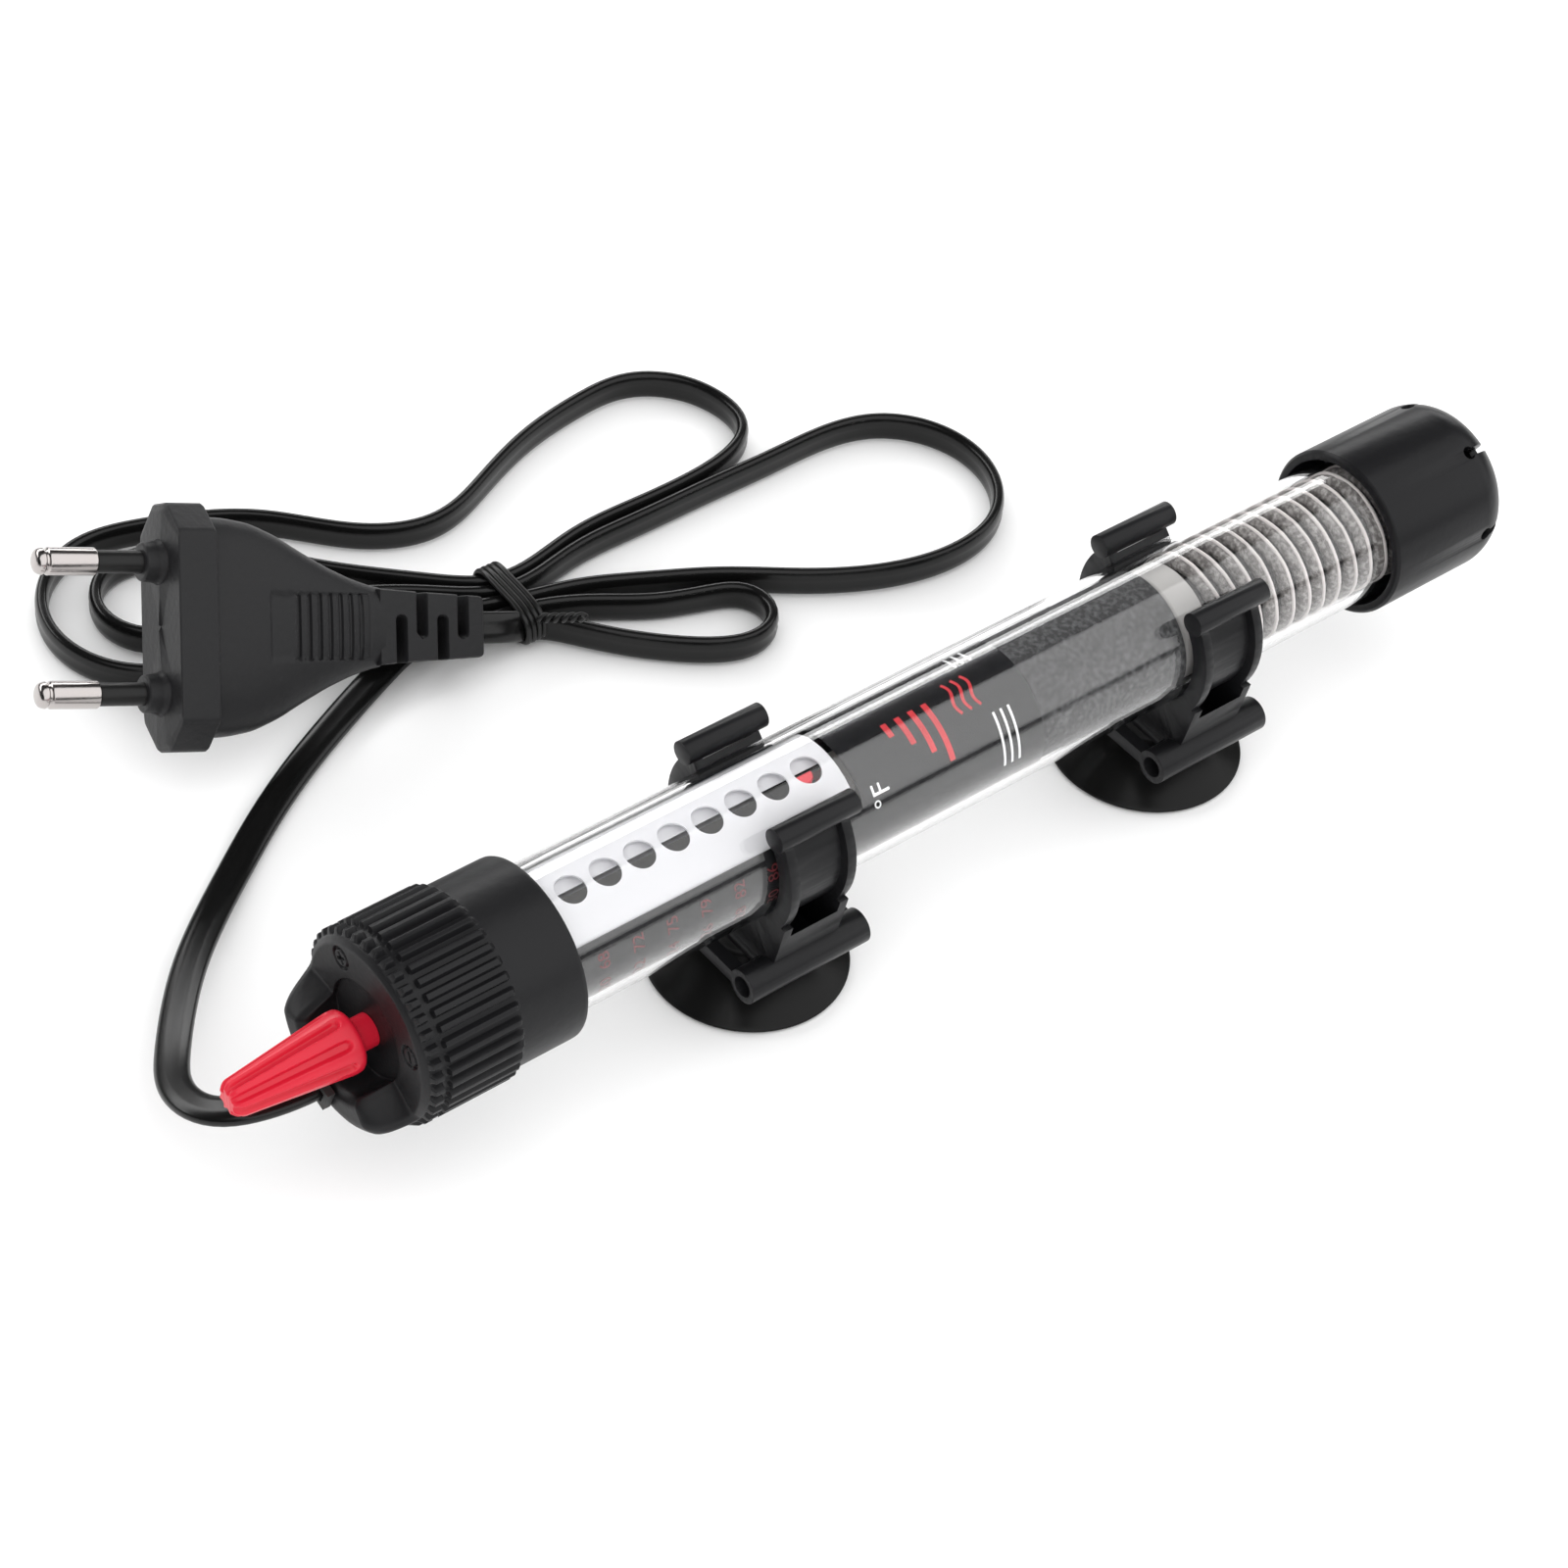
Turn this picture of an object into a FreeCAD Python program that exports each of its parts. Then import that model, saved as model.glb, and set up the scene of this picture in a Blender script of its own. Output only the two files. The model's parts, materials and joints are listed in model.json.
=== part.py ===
"""Submersible aquarium heater with its cord, plug and suction clips, as a parametric document.

The heater lies along X: the cap is at the low end and the end guard at the high end. The
origin is the centre of the front suction cup's face, and every suction cup sits on the
plane z = 0. A "station" is a distance along the heater, counted from the front of the cap.
"""
import FreeCAD, Part
import math
import os
import re

import Sketcher

V = FreeCAD.Vector
X_AXIS = V(1, 0, 0)
Y_AXIS = V(0, 1, 0)
Z_AXIS = V(0, 0, 1)

# Driving dimensions, in millimetres and degrees.
DIMENSIONS = {
    # where things stand
    "axis_height": 25.6,
    "front_clip_station": 70.0,
    "rear_clip_station": 146.0,
    # cap
    "cap_length": 31.0,
    "cap_radius": 13.2,
    "cap_turn": 17.0,
    "face_station": 5.2,
    "face_radius": 12.4,
    "rib_start": 5.8,
    "rib_end": 20.6,
    "rib_height": 0.9,
    "rib_width": 1.25,
    "rib_count": 40,
    "bead_length": 1.9,
    "bead_gap": 0.8,
    "boss_inner": 7.3,
    "boss_half_angle": 72.0,
    "face_recess": 0.6,
    "mark_orbit": 10.3,
    "mark_angle": 51.0,
    "mark_radius": 1.9,
    "mark_line": 0.45,
    "cap_floor_station": 9.5,
    "cap_cavity_radius": 9.6,
    "cord_orbit": 9.0,
    "cord_seat_station": 8.6,
    "wire_orbit": 8.33,
    "tube_seat_station": 13.0,
    # glass tube and what lines it
    "tube_radius": 10.7,
    "tube_wall": 1.1,
    "tube_end_station": 196.0,
    "fit_gap": 0.05,
    "label_end_station": 112.5,
    "window_end_station": 80.5,
    "film_outer": 9.5,
    "film_wall": 0.15,
    "sleeve_outer": 9.25,
    "sleeve_wall": 0.3,
    "scale_end_station": 79.6,
    "hole_radius": 2.2,
    "hole_pitch": 5.63,
    "hole_count": 8,
    "first_hole_station": 36.0,
    "scale_turn": 9.4,
    "liner_start_station": 82.0,
    "liner_end_station": 140.0,
    # adjuster
    "knob_gap": 2.5,
    "knob_length": 18.4,
    "knob_base_radius": 4.45,
    "knob_tip_radius": 2.6,
    "knob_neck_radius": 2.4,
    "flute_count": 8,
    "flute_width": 1.3,
    "flute_depth": 0.85,
    "screw_radius": 2.0,
    "screw_gap": 0.08,
    "screw_lead": 12.0,
    "groove_depth": 0.9,
    "groove_width": 2.4,
    "screw_end_station": 86.0,
    # heating end
    "core_radius": 6.9,
    "core_head_radius": 8.6,
    "core_start_station": 140.5,
    "core_end_station": 186.0,
    "coil_start_station": 147.0,
    "coil_pitch": 3.2,
    "coil_turns": 12.0,
    "coil_wire_radius": 1.1,
    # guard
    "guard_length": 25.0,
    "guard_radius": 13.0,
    "guard_wall": 1.4,
    "guard_round": 6.0,
    "guard_slots": 6,
    "guard_turn": 29.0,
    "guard_grip": 12.0,
    "slot_width": 1.2,
    "whole_length": 205.0,
    # clips and suction cups
    "clip_width": 11.2,
    "clip_web": 1.2,
    "clip_rim": 2.7,
    "clip_flange": 1.5,
    "clip_wrap": 268.0,
    "tab_radius": 1.8,
    "tab_length": 13.6,
    "tab_side": 9.9,
    "tab_height": 9.7,
    "barrel_radius": 2.6,
    "barrel_hole": 1.6,
    "barrel_length": 20.6,
    "barrel_side": 10.85,
    "barrel_drop": 15.8,
    "plate_thickness": 2.0,
    "cup_radius": 14.7,
    "cup_neck_radius": 3.2,
    "cup_head_radius": 3.9,
    # what the cap holds
    "seal_station": 7.3,
    "seal_seat_radius": 4.2,
    "seal_thickness": 0.9,
    "wire_radius": 0.45,
    "grommet_lip": 1.2,
    # where the glass and its lining begin
    "tube_start_station": 14.0,
    "tube_dome": 8.0,
    "film_start_station": 16.0,
    "window_side": 6.6,
    "scale_start_station": 28.0,
    # setting mechanism and thermostat
    "socket_depth": 6.0,
    "screw_groove_station": 33.0,
    "groove_length": 50.0,
    "carriage_length": 7.0,
    "pointer_station": 75.4,
    "follower_radius": 0.45,
    "ramp_length": 39.0,
    "ramp_side": 4.3,
    "ramp_width": 1.6,
    "board_start_station": 33.0,
    "board_end_station": 138.0,
    "board_width": 14.5,
    "board_height": -3.6,
    "board_thickness": 1.2,
    "blade_station": 92.0,
    "blade_height": -0.6,
    "blade_length": 26.0,
    "hinge_pin_radius": 0.45,
    "lamp_station": 123.0,
    # cord
    "cord_width": 4.8,
    "cord_thickness": 2.1,
    "cord_lift": 0.1,
    "strand_gap": 0.4,
    "tie_station": 83.0,
    "tie_side": 74.0,
    "tie_width": 2.4,
    "tie_wall": 0.7,
    # plug: its place, its lie and its shape
    "plug_station": 26.4,
    "plug_side": 81.0,
    "plug_height": 22.0,
    "plug_heading": 166.0,
    "plug_tilt": 17.0,
    "plug_roll": -48.0,
    "plug_width": 35.3,
    "plug_depth": 13.7,
    "plug_corner": 4.2,
    "plug_flange": 6.0,
    "plug_body_length": 27.0,
    "plug_length": 50.0,
    "relief_width": 11.0,
    "relief_depth": 7.6,
    "relief_slot": 1.5,
    "relief_slot_pitch": 3.4,
    "relief_spine": 1.8,
    "pin_spacing": 18.6,
    "pin_radius": 2.0,
    "pin_length": 19.0,
    "pin_nose": 1.2,
    "pin_sleeve_radius": 1.65,
    "pin_sleeve_wall": 0.3,
    "pin_sleeve_length": 10.0,
    "pin_root": 8.0,
    "pin_boss": 3.0,
}

document = FreeCAD.newDocument("aquarium_heater")
sheet = document.addObject("Spreadsheet::Sheet", "dims")
for row, (alias, number) in enumerate(DIMENSIONS.items(), start=1):
    sheet.set(f"A{row}", alias)
    sheet.set(f"B{row}", str(number))
    sheet.setAlias(f"B{row}", alias)
document.recompute()

sub_parts = []


# ---------------------------------------------------------------- small tools

def value(expression):
    """The number that an expression of sheet aliases gives now."""
    result = sheet.evalExpression(str(expression))
    return float(getattr(result, "Value", result))


def linked(expression):
    """The same expression, written for an object outside the sheet."""
    def prefix(match):
        word = match.group(0)
        return f"dims.{word}" if word in DIMENSIONS else word
    return re.sub(r"[a-z_][a-z_0-9]*", prefix, str(expression))


def bind(thing, prop, expression):
    thing.setExpression(prop, linked(expression))


def place(thing, station=None, side="0", height="axis_height", turn="0"):
    """Puts a sub-part on the heater: station along X, side along Y, height along Z."""
    if station is not None:
        bind(thing, "Placement.Base.x", f"{station} - front_clip_station")
    bind(thing, "Placement.Base.y", side)
    bind(thing, "Placement.Base.z", height)
    if turn != "0":
        thing.Placement = FreeCAD.Placement(V(0, 0, 0), FreeCAD.Rotation(X_AXIS, value(turn)))
        bind(thing, "Placement.Rotation.Angle", turn)


def new_body(label):
    body = document.addObject("PartDesign::Body", label)
    body.Label = label
    sub_parts.append(body)
    return body


def new_sketch(body, plane, lift=None):
    """A sketch on one of the body's own origin planes, raised by lift along its normal."""
    sketch = body.newObject("Sketcher::SketchObject", f"{body.Label}_sketch")
    origin = [o for o in body.Origin.OriginFeatures if o.Role == plane][0]
    sketch.AttachmentSupport = (origin, [""])
    sketch.MapMode = "FlatFace"
    if lift is not None:
        bind(sketch, "AttachmentOffset.Base.z", lift)
    return sketch


def add_outline(sketch, points):
    """A closed outline of straight lines through points, each corner bound to the sheet."""
    corners = [V(value(across), value(up), 0) for across, up in points]
    first = sketch.GeometryCount
    count = len(corners)
    for i in range(count):
        sketch.addGeometry(Part.LineSegment(corners[i], corners[(i + 1) % count]))
    for i in range(count):
        following = first + (i + 1) % count
        sketch.addConstraint(Sketcher.Constraint("Coincident", first + i, 2, following, 1))
    for i, (across, up) in enumerate(points):
        for kind, expression, number in (("DistanceX", across, corners[i].x),
                                         ("DistanceY", up, corners[i].y)):
            index = sketch.addConstraint(Sketcher.Constraint(kind, -1, 1, first + i, 1, number))
            if re.search("[a-z]", str(expression)):
                bind(sketch, f"Constraints[{index}]", expression)


def add_circle(sketch, across, up, radius):
    centre = V(value(across), value(up), 0)
    index = sketch.addGeometry(Part.Circle(centre, Z_AXIS, value(radius)))
    for kind, expression, number in (("DistanceX", across, centre.x), ("DistanceY", up, centre.y)):
        found = sketch.addConstraint(Sketcher.Constraint(kind, -1, 1, index, 3, number))
        if re.search("[a-z]", str(expression)):
            bind(sketch, f"Constraints[{found}]", expression)
    found = sketch.addConstraint(Sketcher.Constraint("Radius", index, value(radius)))
    bind(sketch, f"Constraints[{found}]", radius)


def feature(body, kind, sketch, **settings):
    made = body.newObject(f"PartDesign::{kind}", f"{body.Label}_{kind.lower()}")
    made.Profile = sketch
    for name, setting in settings.items():
        if isinstance(setting, str) and name in ("Length", "Angle"):
            bind(made, name, setting)
        else:
            setattr(made, name, setting)
    return made


def revolve(body, plane, points, axis="H_Axis", kind="Revolution", angle=360.0, both_ways=False):
    """Turns an outline about the sketch's own axis, to add or (as a Groove) to cut."""
    sketch = new_sketch(body, plane)
    add_outline(sketch, points)
    return feature(body, kind, sketch, ReferenceAxis=(sketch, [axis]), Angle=angle,
                   Midplane=both_ways)


def extrude(body, plane, points, length, kind="Pad", both_ways=True, lift=None, reverse=False):
    sketch = new_sketch(body, plane, lift)
    add_outline(sketch, points)
    side = "Symmetric" if both_ways else "One side"
    return feature(body, kind, sketch, Length=length, SideType=side, Reversed=reverse)


def extrude_circles(body, plane, circles, length, kind="Pad", both_ways=True, lift=None,
                    reverse=False):
    sketch = new_sketch(body, plane, lift)
    for across, up, radius in circles:
        add_circle(sketch, across, up, radius)
    side = "Symmetric" if both_ways else "One side"
    return feature(body, kind, sketch, Length=length, SideType=side, Reversed=reverse)


def polar_pattern(body, original, count, plane="X_Axis"):
    """Repeats one feature around one of the body's own axes."""
    pattern = body.newObject("PartDesign::PolarPattern", f"{body.Label}_pattern")
    pattern.Originals = [original]
    axis = [o for o in body.Origin.OriginFeatures if o.Role == plane][0]
    pattern.Axis = (axis, [""])
    pattern.Angle = 360
    bind(pattern, "Occurrences", count)
    body.Tip = pattern
    return pattern


def round_edges(body, radius, wanted, kind="Fillet"):
    """Rounds (or chamfers) the edges of the body's present shape that the test picks."""
    document.recompute()
    base = body.Tip
    names = [f"Edge{i}" for i, edge in enumerate(base.Shape.Edges, start=1) if wanted(edge)]
    made = body.newObject(f"PartDesign::{kind}", f"{body.Label}_{kind.lower()}")
    made.Base = (base, names)
    bind(made, "Radius" if kind == "Fillet" else "Size", radius)
    return made


def ring_edge(station, radius):
    """A test for full circles about X at a station of the body's own frame."""
    def wanted(edge):
        curve = edge.Curve
        return (isinstance(curve, Part.Circle) and abs(curve.Radius - value(radius)) < 0.01
                and abs(curve.Center.x - value(station)) < 0.01 and abs(curve.Axis.x) > 0.99)
    return wanted


def shape_part(label, shape, station=None, side="0", height="axis_height"):
    """A sub-part whose shape is made with Part's own functions from the sheet's values."""
    part = document.addObject("Part::Feature", label)
    part.Label = label
    part.Shape = shape
    place(part, station, side, height)
    sub_parts.append(part)
    return part


def tube_shape(outer, inner, length):
    return Part.makeCylinder(outer, length, V(0, 0, 0), X_AXIS).cut(
        Part.makeCylinder(inner, length, V(0, 0, 0), X_AXIS))


def rod(start, end, radius):
    """A round bar between two points."""
    run = end - start
    return Part.makeCylinder(radius, run.Length, start, run)


# ---------------------------------------------------------------- cap and adjuster

def head_cap():
    """The screw cap: a ribbed barrel with a smooth collar and a boss that the cord leaves by."""
    body = new_body("head_cap")
    place(body, "0", turn="cap_turn")
    bore = "screw_radius + screw_gap"
    gland = "seal_seat_radius"
    seat = "tube_radius + fit_gap"
    recess = "face_station + face_recess"
    revolve(body, "XY_Plane", [
        (recess, bore),
        (recess, "boss_inner"),
        ("face_station", "boss_inner"),
        ("face_station", "face_radius"),
        ("rib_start", "cap_radius"),
        ("cap_length - 0.5", "cap_radius"),
        ("cap_length", "cap_radius - 0.5"),
        ("cap_length", seat),
        ("tube_seat_station", seat),
        ("tube_seat_station", "cap_cavity_radius"),
        ("cap_floor_station", "cap_cavity_radius"),
        ("cap_floor_station", gland),
        ("seal_station", gland),
        ("seal_station", bore),
    ])
    revolve(body, "XZ_Plane", [
        ("0", "-boss_inner - 1"),
        ("0", "-cap_radius + 1.6"),
        ("1.6", "-cap_radius"),
        ("rib_start", "-cap_radius"),
        ("rib_start", "-boss_inner"),
        ("1", "-boss_inner"),
    ], angle="2 * boss_half_angle", both_ways=True)
    rib = extrude(body, "YZ_Plane", [
        ("-rib_width / 2", "cap_radius - 0.4"),
        ("rib_width / 2", "cap_radius - 0.4"),
        ("rib_width / 2", "cap_radius + rib_height / 3"),
        ("rib_width / 4", "cap_radius + rib_height"),
        ("-rib_width / 4", "cap_radius + rib_height"),
        ("-rib_width / 2", "cap_radius + rib_height / 3"),
    ], "rib_end - rib_start", both_ways=False, lift="rib_start")
    polar_pattern(body, rib, "rib_count")
    bead_end = "rib_start + bead_length"
    revolve(body, "XY_Plane", [
        (bead_end, "cap_radius"),
        (f"{bead_end} + bead_gap", "cap_radius"),
        (f"{bead_end} + bead_gap", "cap_radius + 3"),
        (bead_end, "cap_radius + 3"),
    ], kind="Groove")
    slot_side = "cord_width / 2 + 0.1"
    slot_top = "-cord_orbit + cord_thickness / 2 + 0.1"
    slot_bottom = "-cord_orbit - cord_thickness / 2 - 0.1"
    extrude(body, "YZ_Plane", [
        (f"-({slot_side})", slot_bottom),
        (slot_side, slot_bottom),
        (slot_side, slot_top),
        (f"-({slot_side})", slot_top),
    ], "2 * cap_floor_station + 4", kind="Pocket")
    for sign in (-1, 1):
        extrude_circles(body, "YZ_Plane", [
            (f"{sign} * mark_orbit * sin(mark_angle * 1deg)",
             "mark_orbit * cos(mark_angle * 1deg)", radius)
            for radius in ("mark_radius", "mark_radius - mark_line")
        ], "2 * (face_station + 0.35)", kind="Pocket")
    return body


def knob_seal_ring():
    """The O-ring that seals the adjuster's shaft in the cap."""
    section = value("(seal_seat_radius - screw_radius) / 2 - 0.03")
    orbit = value("(seal_seat_radius + screw_radius) / 2")
    ring = Part.makeTorus(orbit, section, V(0, 0, 0), X_AXIS)
    return shape_part("knob_seal_ring", ring, "(seal_station + cap_floor_station) / 2")


def sealing_bung():
    """The rubber bung behind the cap's floor, with ways for the shaft and the two wires."""
    body = new_body("sealing_bung")
    place(body, "cap_floor_station + 0.1", turn="cap_turn")
    length = "tube_seat_station - cap_floor_station - 0.2"
    revolve(body, "XY_Plane", [
        ("0", "screw_radius + screw_gap"),
        (length, "screw_radius + screw_gap"),
        (length, "cap_cavity_radius - 0.1"),
        ("0", "cap_cavity_radius - 0.1"),
    ])
    extrude_circles(body, "YZ_Plane", [
        (f"{sign} * cord_width / 4", "-wire_orbit", "wire_radius + 0.1") for sign in (-1, 1)
    ], "20", kind="Pocket")
    return body


def tube_seal_ring():
    """The flat rubber washer between the tube's end and its seat in the cap."""
    body = new_body("tube_seal_ring")
    place(body, "tube_seat_station + 0.05")
    revolve(body, "XY_Plane", [
        ("0", "tube_radius - tube_wall"),
        ("seal_thickness", "tube_radius - tube_wall"),
        ("seal_thickness", "tube_radius"),
        ("0", "tube_radius"),
    ])
    return body


def temperature_knob():
    """The tapered, fluted knob that the user turns."""
    body = new_body("temperature_knob")
    place(body, "face_station - knob_gap")
    revolve(body, "XY_Plane", [
        ("knob_gap - 0.4", "0"),
        ("knob_gap - 0.4", "knob_neck_radius"),
        ("0", "knob_neck_radius"),
        ("0", "knob_base_radius - 0.5"),
        ("-0.5", "knob_base_radius"),
        ("-1.6", "knob_base_radius"),
        ("-knob_length + 0.8", "knob_tip_radius"),
        ("-knob_length", "knob_tip_radius - 0.8"),
        ("-knob_length", "0"),
    ])
    flute = extrude(body, "XY_Plane", [
        ("-2.2", "knob_base_radius - flute_depth"),
        ("-2.2", "knob_base_radius + 2"),
        ("-knob_length - 1", "knob_base_radius + 2"),
        ("-knob_length - 1", "knob_tip_radius - flute_depth"),
    ], "flute_width", kind="Pocket")
    polar_pattern(body, flute, "flute_count")
    extrude_circles(body, "YZ_Plane", [("0", "0", "screw_radius")], "2 * socket_depth",
                    kind="Pocket", lift="knob_gap")
    return body


def lead_screw():
    """The adjuster's shaft: a plain journal through the seal, then a long-lead groove."""
    start = value("face_station - socket_depth")
    length = value("screw_end_station") - start
    radius = value("screw_radius")
    shaft = rod(V(0, 0, 0), V(length, 0, 0), radius)
    groove_start = value("screw_groove_station") - start
    groove_run = value("groove_length")
    lead = value("screw_lead")
    floor = radius - value("groove_depth")
    half = value("groove_width") / 2
    helix = Part.makeHelix(lead, groove_run, radius)
    corners = [V(floor, 0, -half), V(radius + 1, 0, -half), V(radius + 1, 0, half),
               V(floor, 0, half)]
    section = Part.makePolygon(corners + corners[:1])
    thread = Part.Wire(helix.Edges).makePipeShell([section], True, True)
    turn_to_x = FreeCAD.Rotation(Y_AXIS, 90)
    to_follower = value("pointer_station - screw_groove_station")
    start_angle = FreeCAD.Rotation(X_AXIS, 180 - 360 * to_follower / lead)
    thread.Placement = FreeCAD.Placement(V(groove_start, 0, 0), start_angle * turn_to_x)
    return shape_part("lead_screw", shaft.cut(thread), "face_station - socket_depth")


def pointer_carriage():
    """The red nut that the lead screw drives; its flag shows behind the scale's holes."""
    radius = value("screw_radius + screw_gap")
    half = value("carriage_length") / 2
    board_top = value("board_height")
    block_side = 4.0
    block = Part.makeBox(2 * half, 2 * block_side, 4.2 - board_top - 0.1,
                         V(-half, -block_side, board_top + 0.1))
    flag_top = value("sleeve_outer - sleeve_wall - 0.35")
    flag = Part.makeCylinder(value("hole_radius") - 0.2, flag_top - 3.5, V(0, 0, 3.5), Z_AXIS)
    stem = Part.makeBox(2.4, 2.0, 3.0, V(-1.2, -1.0, 3.6))
    flag.rotate(V(0, 0, 0), X_AXIS, value("scale_turn"))
    stem.rotate(V(0, 0, 0), X_AXIS, value("scale_turn"))
    body = block.fuse([stem, flag]).cut(rod(V(-half - 1, 0, 0), V(half + 1, 0, 0), radius))
    pin_foot = value("screw_radius - groove_depth + 0.2")
    pin = Part.makeCylinder(value("follower_radius"), 2.0, V(0, 0, pin_foot), Z_AXIS)
    return shape_part("pointer_carriage", body.fuse(pin).removeSplitter(), "pointer_station")


def setting_ramp():
    """The sliding wedge on the carriage that loads the thermostat as the knob is turned."""
    top = value("board_height + 0.1")
    length = value("ramp_length")
    side = value("ramp_side")
    start = value("carriage_length") / 2
    face = Part.makePolygon([V(start, side, top), V(start + length, side, top),
                             V(start + length, side, top + 0.5), V(start, side, top + 1.7),
                             V(start, side, top)])
    wedge = Part.Face(face).extrude(V(0, value("ramp_width"), 0))
    return shape_part("setting_ramp", wedge, "pointer_station")


# ---------------------------------------------------------------- tube, scale and sleeves

def glass_tube():
    """The borosilicate tube, open at the cap and closed by a round end."""
    body = new_body("glass_tube")
    place(body, "tube_start_station")
    length = "tube_end_station - tube_start_station"
    inner = "tube_radius - tube_wall"
    revolve(body, "XY_Plane", [
        ("0", inner),
        (f"{length} - tube_wall", inner),
        (f"{length} - tube_wall", "0"),
        (length, "0"),
        (length, "tube_radius"),
        ("0", "tube_radius"),
    ])
    round_edges(body, "tube_dome", ring_edge(length, "tube_radius"))
    round_edges(body, "tube_dome - tube_wall", ring_edge(f"{length} - tube_wall", inner))
    return body


def label_film():
    """The printed film inside the glass, with a long window over the scale."""
    body = new_body("label_film")
    place(body, "film_start_station", turn="scale_turn")
    length = "label_end_station - film_start_station"
    revolve(body, "XY_Plane", [
        ("0", "film_outer - film_wall"),
        (length, "film_outer - film_wall"),
        (length, "film_outer"),
        ("0", "film_outer"),
    ])
    window_end = "window_end_station - film_start_station"
    window_start = "cap_length - film_start_station + 0.5"
    extrude(body, "XY_Plane", [
        (window_start, "-window_side"),
        (window_end, "-window_side"),
        (window_end, "window_side"),
        (window_start, "window_side"),
    ], "12", kind="Pocket", both_ways=False, reverse=True)
    return body


def scale_sleeve():
    """The white scale sleeve: one round hole for each mark of the temperature scale."""
    body = new_body("scale_sleeve")
    place(body, "scale_start_station", turn="scale_turn")
    length = "scale_end_station - scale_start_station"
    inner = "sleeve_outer - sleeve_wall"
    revolve(body, "XY_Plane", [
        ("0", inner), (length, inner), (length, "sleeve_outer"), ("0", "sleeve_outer"),
    ])
    first = "first_hole_station - scale_start_station"
    hole = extrude_circles(body, "XY_Plane", [(first, "0", "hole_radius")], "12",
                           kind="Pocket", both_ways=False, reverse=True)
    pattern = body.newObject("PartDesign::LinearPattern", "scale_sleeve_row")
    pattern.Originals = [hole]
    axis = [o for o in body.Origin.OriginFeatures if o.Role == "X_Axis"][0]
    pattern.Direction = (axis, [""])
    bind(pattern, "Length", "hole_pitch * (hole_count - 1)")
    bind(pattern, "Occurrences", "hole_count")
    body.Tip = pattern
    return body


def insulating_sleeve():
    """The dark heat shield between the thermostat and the glass."""
    body = new_body("insulating_sleeve")
    place(body, "liner_start_station")
    length = "liner_end_station - liner_start_station"
    inner = "sleeve_outer - 0.5"
    revolve(body, "XY_Plane", [
        ("0", inner), (length, inner), (length, "sleeve_outer"), ("0", "sleeve_outer"),
    ])
    return body


# ---------------------------------------------------------------- thermostat

def rivet_places():
    """Where the rivets stand on the board: distances along it and to each side."""
    along = [value("board_end_station - board_start_station") - back for back in (16.7, 2.5)]
    return [V(x, y, 0) for x in along for y in (-5.0, 5.0)]


def thermostat_board():
    """The insulating board that carries the thermostat, the lamp and the adjuster's bearing."""
    length = value("board_end_station - board_start_station")
    half_width = value("board_width") / 2
    top = value("board_height")
    thickness = value("board_thickness")
    board = Part.makeBox(length, 2 * half_width, thickness, V(0, -half_width, top - thickness))
    under = V(0, 0, top - thickness)
    holes = [Part.makeCylinder(0.65, thickness, place + under) for place in rivet_places()]
    board = board.cut(holes)
    return shape_part("thermostat_board", board, "board_start_station")


def screw_bearing():
    """The block at the board's middle that holds the lead screw's far end."""
    top = value("board_height")
    block = Part.makeBox(4, 7, 3.6 - top, V(0, -3.5, top))
    bore = rod(V(-1, 0, 0), V(5, 0, 0), value("screw_radius + screw_gap"))
    return shape_part("screw_bearing", block.cut(bore), "screw_end_station - 3")


def bimetal_strip():
    """The bimetal blade: it bends as it warms and lifts the moving contact."""
    low = value("blade_height")
    blade = Part.makeBox(value("blade_length"), 4.0, 0.4, V(0, -2.0, low))
    hub = rod(V(0, -2.0, low + 0.2), V(0, 2.0, low + 0.2), 0.9)
    eye = rod(V(0, -3.0, low + 0.2), V(0, 3.0, low + 0.2), value("hinge_pin_radius") + 0.05)
    return shape_part("bimetal_strip", blade.fuse(hub).cut(eye), "blade_station")


def moving_contact():
    """The silver contact riveted under the blade's free end."""
    low = value("blade_height")
    end = value("blade_length") - 3.0
    button = Part.makeCylinder(1.2, 0.9, V(end, 0, low - 0.9), Z_AXIS)
    return shape_part("moving_contact", button, "blade_station")


def armature():
    """The steel keeper on the blade, which the magnet snaps down."""
    low = value("blade_height")
    start = value("blade_length") - 9.0
    plate = Part.makeBox(3.5, 3.6, 0.8, V(start, -1.8, low - 0.8))
    return shape_part("armature", plate, "blade_station")


def blade_bracket():
    """The two-eared bracket and pin that hold the blade's fixed end."""
    low = value("blade_height")
    board_top = value("board_height")
    ears = []
    for side in (-3.2, 2.2):
        ears.append(Part.makeBox(3.0, 1.0, low + 1.6 - board_top, V(-1.5, side, board_top)))
    pin = rod(V(0, -3.2, low + 0.2), V(0, 3.2, low + 0.2), value("hinge_pin_radius"))
    return shape_part("blade_bracket", ears[0].fuse([ears[1], pin]), "blade_station")


def fixed_contact():
    """The fixed contact on its terminal plate."""
    board_top = value("board_height")
    end = value("blade_length") - 3.0
    plate = Part.makeBox(6.0, 3.6, 0.5, V(end - 1.8, -1.8, board_top))
    button_top = value("blade_height") - 0.95
    button = Part.makeCylinder(1.2, button_top - board_top, V(end, 0, board_top), Z_AXIS)
    return shape_part("fixed_contact", plate.fuse(button), "blade_station")


def snap_magnet():
    """The small magnet that makes the contacts open and close with a snap."""
    board_top = value("board_height")
    start = value("blade_length") - 9.0
    height = value("blade_height") - 0.8 - 0.15 - board_top
    return shape_part("snap_magnet", Part.makeBox(3.5, 3.6, height, V(start, -1.8, board_top)),
                      "blade_station")


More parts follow.
